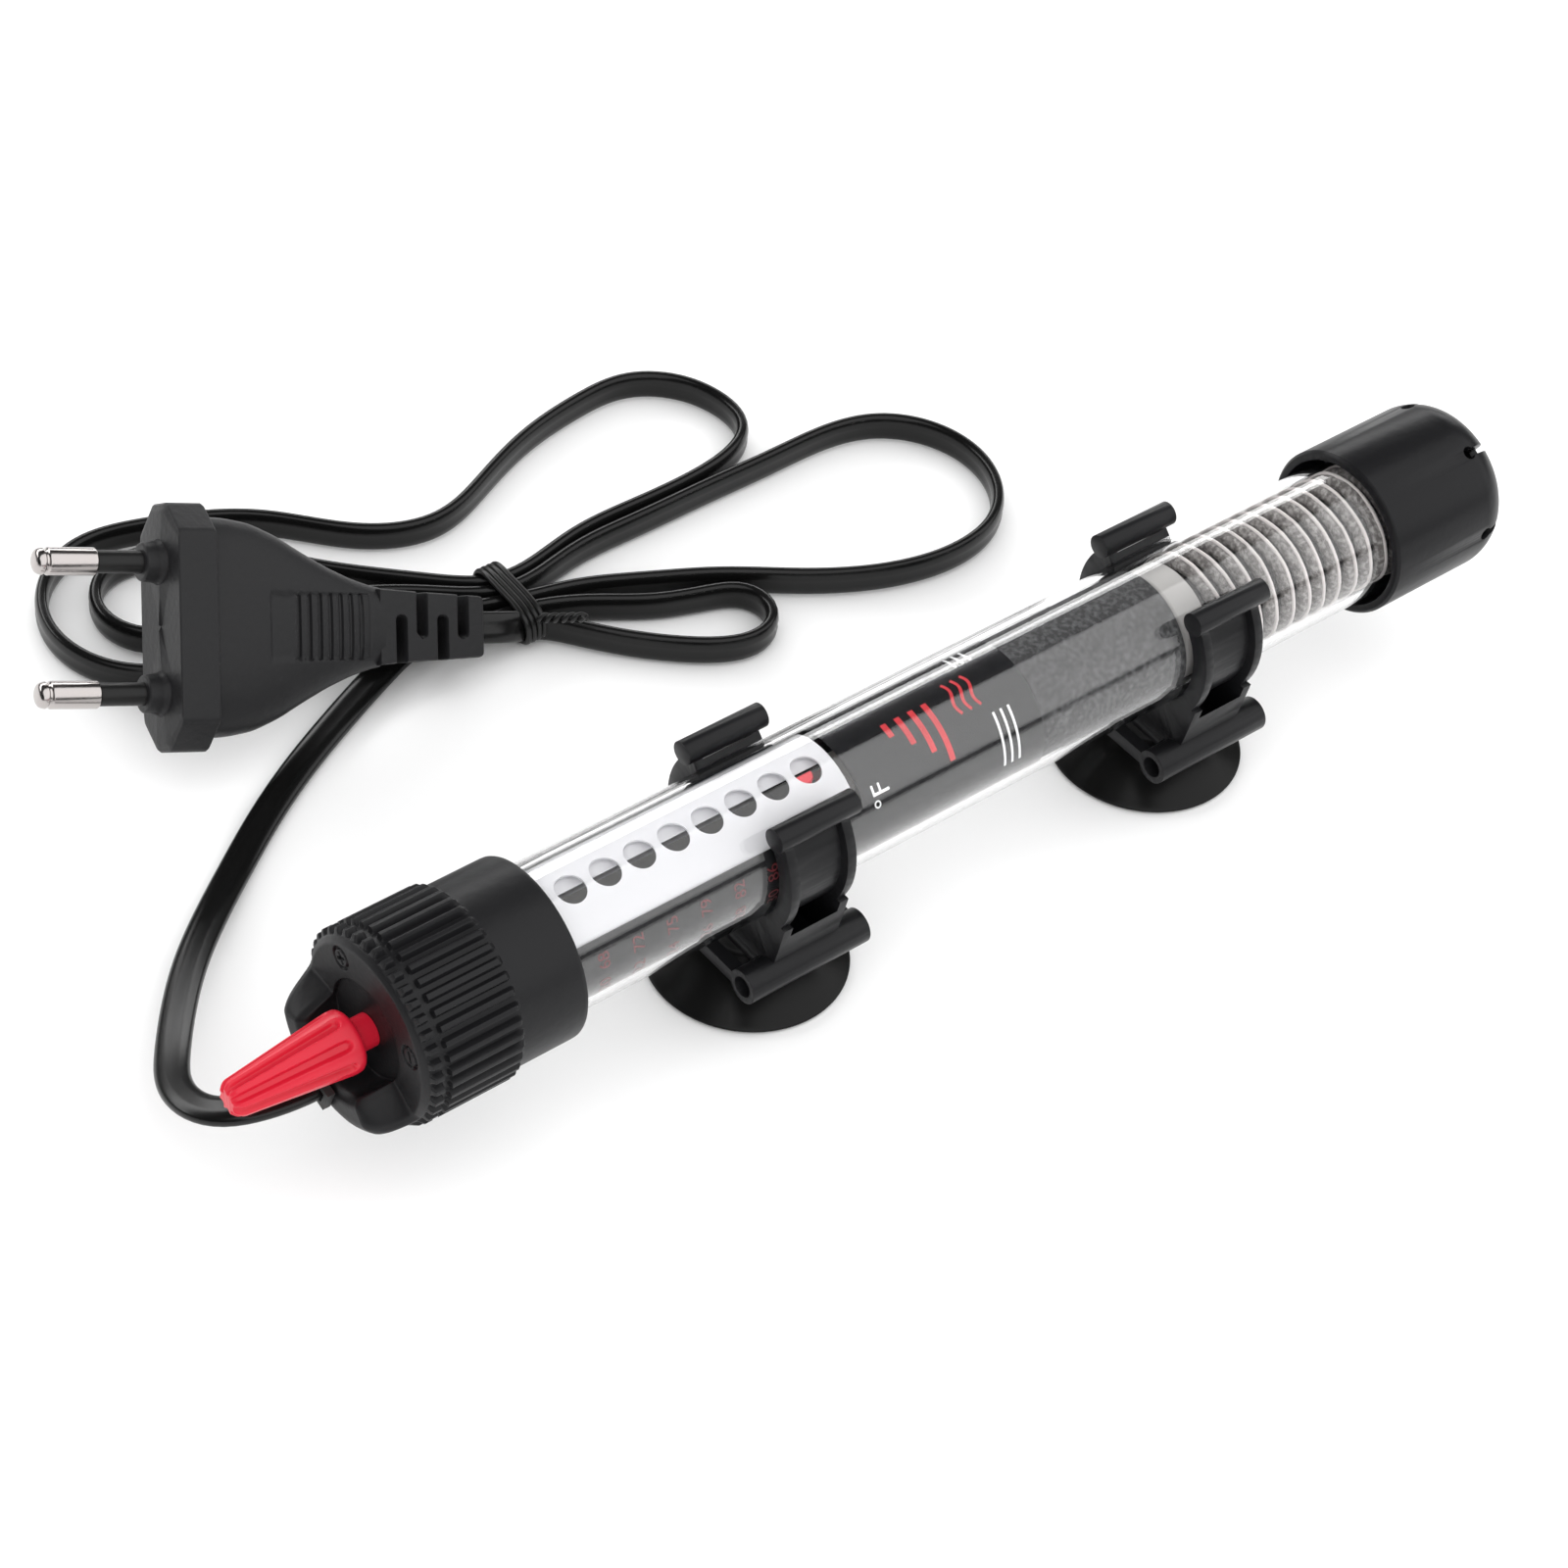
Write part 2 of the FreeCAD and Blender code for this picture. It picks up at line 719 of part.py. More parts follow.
def neon_lamp():
    """The indicator lamp: a small glass bead with a pip at one end."""
    body = new_body("neon_lamp")
    place(body, "lamp_station", side="-3.2", height="axis_height + board_height + 2.1")
    revolve(body, "XY_Plane", [
        ("0", "0"), ("0", "2"), ("8", "2"), ("9.5", "1"), ("10.5", "0.4"), ("10.5", "0"),
    ])
    return body


def series_resistor():
    """The lamp's series resistor with its two end caps and leads."""
    body = new_body("series_resistor")
    place(body, "lamp_station", side="3.2", height="axis_height + board_height + 1.3")
    revolve(body, "XY_Plane", [
        ("0", "0"), ("0", "0.3"), ("2", "0.3"), ("2", "1.2"), ("3.4", "1.2"), ("3.4", "0.95"),
        ("6.6", "0.95"), ("6.6", "1.2"), ("8", "1.2"), ("8", "0.3"), ("10", "0.3"), ("10", "0"),
    ])
    return body


def terminal_rivets():
    """The rivets that hold the terminals to the board."""
    top = value("board_height")
    thickness = value("board_thickness")
    rivets = []
    for place_on_board in rivet_places():
        shank = Part.makeCylinder(0.6, thickness + 0.8, place_on_board + V(0, 0, top - thickness - 0.4))
        head = Part.makeCylinder(1.0, 0.4, place_on_board + V(0, 0, top))
        foot = Part.makeCylinder(1.0, 0.4, place_on_board + V(0, 0, top - thickness - 0.4))
        rivets.append(shank.fuse([head, foot]))
    return shape_part("terminal_rivets", Part.makeCompound(rivets), "board_start_station")


def lead_wires():
    """The cord's two insulated conductors, from its end in the cap to the board."""
    radius = value("wire_radius")
    orbit = value("wire_orbit")
    spread = value("cord_width") / 4
    length = value("board_start_station - cord_seat_station") + 8
    wires = [rod(V(0.05, sign * spread, -orbit), V(length, sign * spread, -orbit), radius)
             for sign in (-1, 1)]
    part = shape_part("lead_wires", Part.makeCompound(wires), "cord_seat_station")
    place(part, "cord_seat_station", turn="cap_turn")
    return part


# ---------------------------------------------------------------- heating end

def ceramic_core():
    """The ceramic former: a head that fits the tube, a core for the coil and two lead ways."""
    body = new_body("ceramic_core")
    place(body, "core_start_station")
    length = "core_end_station - core_start_station"
    revolve(body, "XY_Plane", [
        ("0", "0"),
        ("0", "core_head_radius - 0.5"),
        ("0.5", "core_head_radius"),
        ("5", "core_head_radius"),
        ("5.5", "core_radius"),
        (length, "core_radius"),
        (length, "0"),
    ])
    extrude_circles(body, "YZ_Plane", [(side, "0", "0.8") for side in ("-3", "3")], "200",
                    kind="Pocket")
    return body


def heating_coil():
    """The resistance wire in its woven glass-fibre sleeve, wound on the core."""
    radius = value("coil_wire_radius")
    orbit = value("core_radius") + radius + 0.05
    pitch = value("coil_pitch")
    run = pitch * value("coil_turns")
    helix = Part.Wire(Part.makeHelix(pitch, run, orbit).Edges)
    section = Part.Wire([Part.makeCircle(radius, V(orbit, 0, 0), Y_AXIS)])
    coil = helix.makePipeShell([section], True, True)
    coil.Placement = FreeCAD.Placement(V(0, 0, 0), FreeCAD.Rotation(Y_AXIS, 90))
    return shape_part("heating_coil", coil, "coil_start_station")


def coil_leads():
    """The two bare leads that rise from the board and pass through the core to the coil."""
    foot = value("board_height") + 0.02
    length = value("core_end_station + 0.8 - board_end_station") + 4
    leads = []
    for side in (-3, 3):
        leg = rod(V(0.6, side, foot), V(0.6, side, 0), 0.35)
        leads.append(rod(V(0, side, 0), V(length, side, 0), 0.45).fuse(leg))
    return shape_part("coil_leads", Part.makeCompound(leads), "board_end_station - 4")


def end_spacer():
    """The mica disc that keeps the core off the tube's round end."""
    body = new_body("end_spacer")
    place(body, "core_end_station + 1.0")
    revolve(body, "XY_Plane", [
        ("0", "0"), ("0.8", "0"), ("0.8", "8.3"), ("0", "8.3"),
    ])
    return body


def end_guard():
    """The vented plastic guard: inner ribs grip the glass, keyhole slots let water through."""
    body = new_body("end_guard")
    place(body, "whole_length - guard_length", turn="guard_turn")
    inner = "guard_radius - guard_wall"
    revolve(body, "XY_Plane", [
        ("0", inner),
        ("guard_length - guard_wall", inner),
        ("guard_length - guard_wall", "0"),
        ("guard_length", "0"),
        ("guard_length", "guard_radius"),
        ("0.4", "guard_radius"),
        ("0", "guard_radius - 0.4"),
    ])
    round_edges(body, "guard_round", ring_edge("guard_length", "guard_radius"))
    round_edges(body, "guard_round - guard_wall",
                ring_edge("guard_length - guard_wall", inner))
    grip = extrude(body, "YZ_Plane", [
        ("-0.6", "tube_radius + fit_gap"), ("0.6", "tube_radius + fit_gap"),
        ("0.6", f"{inner} + 0.3"), ("-0.6", f"{inner} + 0.3"),
    ], "guard_grip", both_ways=False, lift="1.5")
    polar_pattern(body, grip, "guard_slots")
    slit = extrude(body, "XY_Plane", [
        ("guard_length - 6", "-slot_width / 2"), ("guard_length + 1", "-slot_width / 2"),
        ("guard_length + 1", "slot_width / 2"), ("guard_length - 6", "slot_width / 2"),
    ], "20", kind="Pocket", both_ways=False, reverse=True, lift="7.5")
    polar_pattern(body, slit, "guard_slots")
    eye = extrude_circles(body, "XY_Plane", [("guard_length - 6", "0", "slot_width * 0.85")],
                          "20", kind="Pocket", both_ways=False, reverse=True, lift="7.5")
    polar_pattern(body, eye, "guard_slots")
    return body


# ---------------------------------------------------------------- clips and suction cups

def clip(label, station):
    """A spring clip: channel arms round the tube, finger tabs, and a base for the cup."""
    body = new_body(label)
    place(body, station)
    bore = "tube_radius + fit_gap"
    web = f"-({bore} + clip_web)"
    rim = f"-({bore} + clip_rim)"
    half = "clip_width / 2"
    revolve(body, "XZ_Plane", [
        (f"-{half}", f"-({bore})"),
        (half, f"-({bore})"),
        (half, rim),
        (f"{half} - clip_flange", rim),
        (f"{half} - clip_flange", web),
        (f"-{half} + clip_flange", web),
        (f"-{half} + clip_flange", rim),
        (f"-{half}", rim),
    ], angle="clip_wrap", both_ways=True)
    plate_low = "-barrel_drop - plate_thickness / 2"
    plate_high = "-barrel_drop + plate_thickness / 2"
    extrude(body, "YZ_Plane", [
        ("-barrel_side", plate_low),
        ("barrel_side", plate_low),
        ("barrel_side + 1.2", "-barrel_drop + 5"),
        ("barrel_side + 2", "-6"),
        ("-barrel_side - 2", "-6"),
        ("-barrel_side - 1.2", "-barrel_drop + 5"),
    ], "clip_width")
    extrude(body, "YZ_Plane", [
        ("-barrel_side + 3", plate_high),
        ("barrel_side - 3", plate_high),
        ("barrel_side + 3", "-6"),
        ("-barrel_side - 3", "-6"),
    ], "clip_width - 2 * clip_flange", kind="Pocket")
    revolve(body, "XZ_Plane", [
        (f"-{half}", f"-({bore})"), (half, f"-({bore})"), (half, web), (f"-{half}", web),
    ], angle="clip_wrap", both_ways=True)
    extrude(body, "YZ_Plane", [
        ("-barrel_side", plate_low), ("barrel_side", plate_low),
        ("barrel_side", plate_high), ("-barrel_side", plate_high),
    ], "barrel_length")
    extrude_circles(body, "YZ_Plane", [
        ("-barrel_side", "-barrel_drop", "barrel_radius"),
        ("barrel_side", "-barrel_drop", "barrel_radius"),
    ], "barrel_length")
    for sign in ("-", ""):
        extrude(body, "XY_Plane", [
            (f"{sign}({half} + 0.01)", "-barrel_side + barrel_radius"),
            (f"{sign}(barrel_length / 2 - 2)", "-barrel_side + barrel_radius"),
            (f"{sign}(barrel_length / 2 - 2)", "barrel_side - barrel_radius"),
            (f"{sign}({half} + 0.01)", "barrel_side - barrel_radius"),
        ], "2 * barrel_drop + 4", kind="Pocket")
    extrude_circles(body, "YZ_Plane", [
        ("-barrel_side", "-barrel_drop", "barrel_hole"),
        ("barrel_side", "-barrel_drop", "barrel_hole"),
    ], "barrel_length + 2", kind="Pocket")
    extrude_circles(body, "YZ_Plane", [("0", "0", bore)], "barrel_length + 2", kind="Pocket")
    extrude_circles(body, "XY_Plane", [("0", "0", "cup_neck_radius + 0.08")],
                    "plate_thickness + 1", kind="Pocket", both_ways=False, reverse=True,
                    lift="-barrel_drop - plate_thickness / 2 - 0.5")
    extrude_circles(body, "YZ_Plane", [
        ("-tab_side", "tab_height", "tab_radius"), ("tab_side", "tab_height", "tab_radius"),
    ], "tab_length")
    extrude_circles(body, "YZ_Plane", [("0", "0", bore)], "barrel_length + 2", kind="Pocket")
    return body


def suction_cup(label, station):
    """A rubber suction cup: a thin dished disc, a shoulder, and a head that snaps in the clip."""
    body = new_body(label)
    place(body, station, height="0")
    plate_low = "axis_height - barrel_drop - plate_thickness / 2"
    plate_high = "axis_height - barrel_drop + plate_thickness / 2"
    revolve(body, "XZ_Plane", [
        ("0", "2.2"),
        ("6", "1.4"),
        ("cup_radius - 3", "0"),
        ("cup_radius", "0"),
        ("cup_radius", "0.7"),
        ("cup_radius - 2.5", "2.2"),
        ("8.5", "4.6"),
        ("5.2", "6.2"),
        ("5.2", f"{plate_low} - 0.1"),
        ("cup_neck_radius", f"{plate_low} - 0.1"),
        ("cup_neck_radius", f"{plate_high} + 0.1"),
        ("cup_head_radius", f"{plate_high} + 0.1"),
        ("cup_head_radius", f"{plate_high} + 1.2"),
        ("cup_neck_radius - 0.4", f"{plate_high} + 2.0"),
        ("0", f"{plate_high} + 2.0"),
    ], axis="V_Axis")
    return body


# ---------------------------------------------------------------- cord and plug

def cord_points():
    """The cord's way from the cap, round five loops, to the plug: points with a twist each.

    A twist of 0 means the cord lies flat, and 90 that it stands on edge, as a flat cord does
    where it bends sideways. At the tie five strands stand side by side.
    """
    flat = value("cord_thickness / 2 + cord_lift")
    edge = value("cord_width / 2 + cord_lift")
    tied = edge + value("strand_gap")
    column = value("cord_thickness + strand_gap")
    tie_station = value("tie_station")
    tie_side = value("tie_side")

    points = []

    def lay(*places):
        """Adds places (station, side, height) where the cord stands on edge."""
        points.extend((place, 90.0) for place in places)

    def loop_end(station, side, radius, first, last, steps):
        """Adds a round loop's end on the table, from one compass angle to another."""
        for i in range(steps + 1):
            angle = math.radians(first + (last - first) * i / steps)
            lay((station + radius * math.cos(angle), side + radius * math.sin(angle), edge))

    def through_tie(place_in_row, raised=0.0):
        lay((tie_station, tie_side + place_in_row * column, tied + raised))

    def behind_plug(distance):
        """A place on the plug's axis, behind the centre of its face."""
        heading = math.radians(value("plug_heading"))
        tilt = math.radians(value("plug_tilt"))
        level = distance * math.cos(tilt)
        return (value("plug_station") - level * math.cos(heading),
                value("plug_side") - level * math.sin(heading),
                value("plug_height") - distance * math.sin(tilt))

    # out of the cap, lying flat, down to the table and under the plug
    turn = math.radians(value("cap_turn"))
    orbit = value("cord_orbit")
    outlet = (orbit * math.sin(turn), value("axis_height") - orbit * math.cos(turn))
    for station in (value("cord_seat_station"), 3.0, -2.5):
        points.append(((station, *outlet), -value("cap_turn")))
    for place in ((-7, 3, 17), (-13, 7, 15), (-14, 14, 12.5), (-10, 22, 9.5), (-4, 30, 7),
                  (4, 39, 4.5), (13, 47, 2.5), (22, 54, flat), (36, 63, flat), (50, 70, flat),
                  (60, 74.4, flat), (68, 77, flat)):
        points.append((place, 0.0))
    lay((76, 76.2, edge + 0.3))
    through_tie(0)
    # the long near loop
    lay((93, 71.8, edge), (103, 67.3, edge), (114, 61.5, edge), (124, 54.5, edge),
        (136, 48.2, edge))
    loop_end(149.3, 62.5, 16.5, -90, 90, 6)
    lay((138, 79, edge), (124, 79, edge), (111, 78.8, edge), (97, 78.2, edge))
    through_tie(1)
    # the inner loop behind the plug
    lay((76, 81.2, edge), (70, 85.6, edge), (64, 89, edge), (58, 91.8, edge), (51, 93.9, edge))
    loop_end(40.3, 104.6, 9.2, 270, 75, 5)
    lay((54, 107.3, edge), (64, 96, edge), (70, 90, edge), (76, 84.5, edge))
    through_tie(2)
    # the far loop
    lay((99, 80.9, edge), (113, 81.5, edge), (125, 81.8, edge), (133, 83.4, edge))
    loop_end(125.3, 92.8, 14.5, -22, 105, 4)
    lay((109, 104.4, edge), (97, 99.6, edge), (84, 95.5, edge), (74, 99.4, edge),
        (63, 110.4, edge))
    # the outer loop behind the plug, then flat over the first strand
    loop_end(39.3, 104.3, 16.3, 60, 265, 5)
    lay((49, 86.4, edge), (53.5, 83.2, edge + 0.3))
    points.extend([((58, 79.4, flat + 3.1), 20.0), ((62.8, 76, flat + 3.3), 0.0),
                   ((67.6, 74, flat + 2.7), 55.0)])
    lay((73.2, 73.1, edge + 0.3))
    through_tie(-1)
    # the short near loop, and up into the plug
    lay((92, 68.5, edge), (101, 62.8, edge))
    loop_end(110.3, 53.3, 5.8, 85, -90, 4)
    lay((102, 50.5, edge), (94, 57.4, edge), (88.5, 63.6, edge + 0.2))
    through_tie(-2, raised=0.35)
    for beyond in (5.5, 2.5, 0.2):
        place = behind_plug(value("plug_length") + beyond)
        points.append((place, 180 + value("plug_roll")))
    return points


def cord_frames(count):
    """Points along the cord with the two directions across it: its width and its thickness.

    Where the cord twists it rises enough for its lower edge to stay on the table.
    """
    shift = value("front_clip_station")
    half_width = value("cord_width") / 2
    half_height = value("cord_thickness") / 2
    lift = value("cord_lift")
    laid = cord_points()
    curve = Part.BSplineCurve()
    curve.interpolate([V(x - shift, y, z) for (x, y, z), twist in laid])
    knots = curve.getKnots()
    frames = []
    span = 0
    for i in range(count + 1):
        where = knots[0] + (knots[-1] - knots[0]) * i / count
        while span < len(knots) - 2 and where > knots[span + 1]:
            span += 1
        part_way = (where - knots[span]) / (knots[span + 1] - knots[span])
        twist = laid[span][1] * (1 - part_way) + laid[span + 1][1] * part_way
        ahead = curve.tangent(where)[0]
        sideways = Z_AXIS.cross(ahead).normalize()
        upward = ahead.cross(sideways).normalize()
        lean = FreeCAD.Rotation(ahead, twist)
        sideways = lean.multVec(sideways)
        upward = lean.multVec(upward)
        reach_down = abs(sideways.z) * half_width + abs(upward.z) * half_height
        point = curve.value(where)
        point.z = max(point.z, reach_down + lift)
        frames.append((point, sideways, upward))
    return frames


def ruled_face(low, high):
    """The face of straight lines between two curves that share their knots."""
    surface = Part.BSplineSurface()
    surface.buildFromPolesMultsKnots(
        [low.getPoles(), high.getPoles()], [2, 2], low.getMultiplicities(), [0.0, 1.0],
        low.getKnots(), False, False, 1, low.Degree)
    return surface.toShape()


def mains_cord():
    """The flat twin cord, one solid along its whole laid-out length."""
    half_width = value("cord_width") / 2
    half_height = value("cord_thickness") / 2
    frames = cord_frames(360)
    corners = [(-1, -1), (1, -1), (1, 1), (-1, 1)]
    steps = [float(i) for i in range(len(frames))]
    lines = []
    for across, up in corners:
        places = [point + sideways * (across * half_width) + upward * (up * half_height)
                  for point, sideways, upward in frames]
        line = Part.BSplineCurve()
        line.interpolate(Points=places, Parameters=steps)
        lines.append(line)
    faces = [ruled_face(lines[i], lines[(i + 1) % len(lines)]) for i in range(len(lines))]
    for end in (steps[0], steps[-1]):
        outline = [line.value(end) for line in lines]
        faces.append(Part.Face(Part.makePolygon(outline + outline[:1])))
    shell = Part.makeShell(faces)
    shell.sewShape()
    solid = Part.makeSolid(shell)
    if solid.Volume < 0:
        solid.reverse()
    return shape_part("mains_cord", solid, height="0")


def cord_grommet():
    """The rubber lip round the cord where it leaves the cap's boss."""
    body = new_body("cord_grommet")
    place(body, "-grommet_lip", turn="cap_turn")
    inner_side = "cord_width / 2 + 0.05"
    inner_low = "-cord_orbit - cord_thickness / 2 - 0.05"
    inner_high = "-cord_orbit + cord_thickness / 2 + 0.05"
    extrude(body, "YZ_Plane", [
        (f"-({inner_side}) - 0.8", f"{inner_low} - 0.8"),
        (f"{inner_side} + 0.8", f"{inner_low} - 0.8"),
        (f"{inner_side} + 0.8", f"{inner_high} + 0.8"),
        (f"-({inner_side}) - 0.8", f"{inner_high} + 0.8"),
    ], "grommet_lip - 0.05", both_ways=False)
    extrude(body, "YZ_Plane", [
        (f"-({inner_side})", inner_low), (inner_side, inner_low),
        (inner_side, inner_high), (f"-({inner_side})", inner_high),
    ], "10", kind="Pocket")
    return body


def cord_tie():
    """The twist tie: a wire band round the gathered strands, with its two ends twisted."""
    half_width = value("3 * cord_thickness + 3 * strand_gap")
    bottom = value("strand_gap")
    top = value("cord_width + 5 * strand_gap")
    wall = value("tie_wall")
    width = value("tie_width")
    outer = Part.makeBox(width, 2 * (half_width + wall), top + wall - bottom / 2,
                         V(-width / 2, -half_width - wall, bottom / 2))
    inner = Part.makeBox(width, 2 * half_width, top - bottom, V(-width / 2, -half_width, bottom))
    band = outer.cut(inner)
    twist = rod(V(0, -half_width - wall, top), V(3, -half_width - 7.5, top + 4), wall)
    return shape_part("cord_tie", band.fuse(twist), "tie_station", side="tie_side", height="0")


def plug_place(part):
    """Puts a plug piece, modelled with its pins along X, where the plug lies."""
    heading = FreeCAD.Rotation(Z_AXIS, value("plug_heading"))
    tilt = FreeCAD.Rotation(Y_AXIS, -value("plug_tilt"))
    roll = FreeCAD.Rotation(X_AXIS, value("plug_roll"))
    part.Placement = FreeCAD.Placement(V(0, 0, 0), heading * tilt * roll)
    place(part, "plug_station", side="plug_side", height="plug_height")


def octagon(half_width, half_depth, cut):
    """The corners of a plug section: a rectangle with its corners cut off."""
    return [
        (f"-({half_width})", f"-({half_depth}) + {cut}"),
        (f"-({half_width}) + {cut}", f"-({half_depth})"),
        (f"{half_width} - {cut}", f"-({half_depth})"),
        (f"{half_width}", f"-({half_depth}) + {cut}"),
        (f"{half_width}", f"{half_depth} - {cut}"),
        (f"{half_width} - {cut}", f"{half_depth}"),
        (f"-({half_width}) + {cut}", f"{half_depth}"),
        (f"-({half_width})", f"{half_depth} - {cut}"),
    ]


def plug_body():
    """The moulded plug: a flanged front, a body that narrows, and a slotted cord relief."""
    body = new_body("plug_body")
    extrude(body, "YZ_Plane", octagon("plug_width / 2", "plug_depth / 2", "plug_corner"),
            "plug_flange", both_ways=False, reverse=True)
    stages = [
        ("plug_flange - 0.5", "plug_width / 2 - 2", "plug_depth / 2 - 0.7", "2.4"),
        ("plug_flange + plug_body_length * 0.3", "plug_width / 2 - 2.8",
         "plug_depth / 2 - 0.9", "2.4"),
        ("plug_flange + plug_body_length * 0.7", "plug_width / 2 - 8",
         "plug_depth / 2 - 1.8", "2"),
        ("plug_flange + plug_body_length", "relief_width / 2", "relief_depth / 2", "1.2"),
    ]
    sketches = []
    for back, half_width, half_depth, cut in stages:
        sketch = new_sketch(body, "YZ_Plane", lift=f"-({back})")
        add_outline(sketch, octagon(half_width, half_depth, cut))
        sketches.append(sketch)
    loft = body.newObject("PartDesign::AdditiveLoft", "plug_body_loft")
    loft.Profile = sketches[0]
    loft.Sections = sketches[1:]
    loft.Ruled = False
    relief_start = "plug_flange + plug_body_length"
    extrude(body, "XY_Plane", [
        (f"-({relief_start}) + 1", "-relief_width / 2"),
        ("-plug_length", "-relief_width / 2 + 1"),
        ("-plug_length", "relief_width / 2 - 1"),
        (f"-({relief_start}) + 1", "relief_width / 2"),
    ], "relief_depth - 0.4")
    for index, reach in enumerate(("relief_width / 2", "-relief_width / 2") * 2):
        near = "-relief_spine" if index % 2 == 0 else "relief_spine"
        back = f"-({relief_start} + 2.5 + relief_slot_pitch * {index})"
        far = f"{back} - relief_slot"
        extrude(body, "XY_Plane", [(back, near), (far, near), (far, reach), (back, reach)],
                "relief_depth + 2", kind="Pocket")
    for side in ("-pin_spacing / 2", "pin_spacing / 2"):
        extrude_circles(body, "YZ_Plane", [(side, "0", "pin_radius + 1")], "pin_boss",
                        both_ways=False)
    for side in ("-pin_spacing / 2", "pin_spacing / 2"):
        extrude_circles(body, "YZ_Plane", [(side, "0", "pin_sleeve_radius + 0.03")],
                        "pin_root + pin_boss", kind="Pocket", both_ways=False,
                        lift="pin_boss")
    extrude(body, "YZ_Plane", [
        ("-cord_width / 2 - 0.05", "-cord_thickness / 2 - 0.05"),
        ("cord_width / 2 + 0.05", "-cord_thickness / 2 - 0.05"),
        ("cord_width / 2 + 0.05", "cord_thickness / 2 + 0.05"),
        ("-cord_width / 2 - 0.05", "cord_thickness / 2 + 0.05"),
    ], "0.5", kind="Pocket", both_ways=False, reverse=True, lift="-plug_length")
    plug_place(body)
    return body


def plug_pins():
    """The two round contact pins: full size at the tip, thinner under the sleeves."""
    spacing = value("pin_spacing")
    root = value("pin_root")
    radius = value("pin_radius")
    sleeve = value("pin_sleeve_length")
    length = value("pin_length")
    stem_radius = value("pin_sleeve_radius - pin_sleeve_wall - 0.03")
    pins = []
    for side in (-spacing / 2, spacing / 2):
        stem = rod(V(-root, side, 0), V(sleeve + 1, side, 0), stem_radius)
        tip = rod(V(sleeve, side, 0), V(length, side, 0), radius)
        nose = [e for e in tip.Edges if abs(e.CenterOfMass.x - length) < 0.01
                and isinstance(e.Curve, Part.Circle)]
        pins.append(stem.fuse(tip.makeFillet(value("pin_nose"), nose)).removeSplitter())
    part = shape_part("plug_pins", Part.makeCompound(pins))
    plug_place(part)
    return part


def pin_sleeves():
    """The insulating sleeves on the inner half of each pin."""
    spacing = value("pin_spacing")
    root = value("pin_root")
    radius = value("pin_sleeve_radius")
    length = value("pin_sleeve_length") - 0.05 + root
    sleeves = []
    for side in (-spacing / 2, spacing / 2):
        sleeve = tube_shape(radius, radius - value("pin_sleeve_wall"), length)
        sleeve.translate(V(-root, side, 0))
        sleeves.append(sleeve)
    part = shape_part("pin_sleeves", Part.makeCompound(sleeves))
    plug_place(part)
    return part


def build_all():
    head_cap()
    knob_seal_ring()
    sealing_bung()
    tube_seal_ring()
    cord_grommet()
    temperature_knob()
    lead_screw()
    pointer_carriage()
    setting_ramp()
    glass_tube()
    label_film()
    scale_sleeve()
    insulating_sleeve()
    thermostat_board()
    screw_bearing()
    blade_bracket()
    bimetal_strip()
    moving_contact()
    armature()
    fixed_contact()
    snap_magnet()
    neon_lamp()
    series_resistor()
    terminal_rivets()
    lead_wires()
    ceramic_core()
    heating_coil()
    coil_leads()
    end_spacer()
    end_guard()
    clip("front_clip", "front_clip_station")
    clip("rear_clip", "rear_clip_station")
    suction_cup("front_suction_cup", "front_clip_station")
    suction_cup("rear_suction_cup", "rear_clip_station")
    mains_cord()
    cord_tie()
    plug_body()
    plug_pins()
    pin_sleeves()


def check_document():
    """Stops if any object failed, or if a sub-part's shape is missing or broken."""
    faults = []
    for thing in document.Objects:
        if {"Invalid", "Error"} & set(thing.State):
            faults.append(f"{thing.Label}: {thing.State}")
    for part in sub_parts:
        shape = part.Shape
        if shape.isNull() or not shape.Solids or not shape.isValid():
            faults.append(f"{part.Label}: bad shape")
        elif isinstance(part.Shape, Part.Shape) and shape.Volume < 0.01:
            faults.append(f"{part.Label}: no volume")
    if faults:
        raise RuntimeError("; ".join(faults))


def write_parts():
    os.makedirs("parts", exist_ok=True)
    for part in sub_parts:
        part.Shape.exportStep(os.path.join("parts", f"{part.Label}.step"))
        print(part.Label, round(part.Shape.Volume, 1), len(part.Shape.Solids))


build_all()
document.recompute()
check_document()
write_parts()
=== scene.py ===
"""The submersible aquarium heater's looks: finishes, the fine shapes, studio and camera.

Lengths are in millimetres in the tables and become metres when a mesh is made. A "station" is
a distance along the heater from the front of its cap. Angles round the heater are measured in
the YZ plane from +Y towards +Z.
"""

import json
import math

import bmesh
import bpy
import numpy as np
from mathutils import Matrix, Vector
from mathutils.geometry import tessellate_polygon


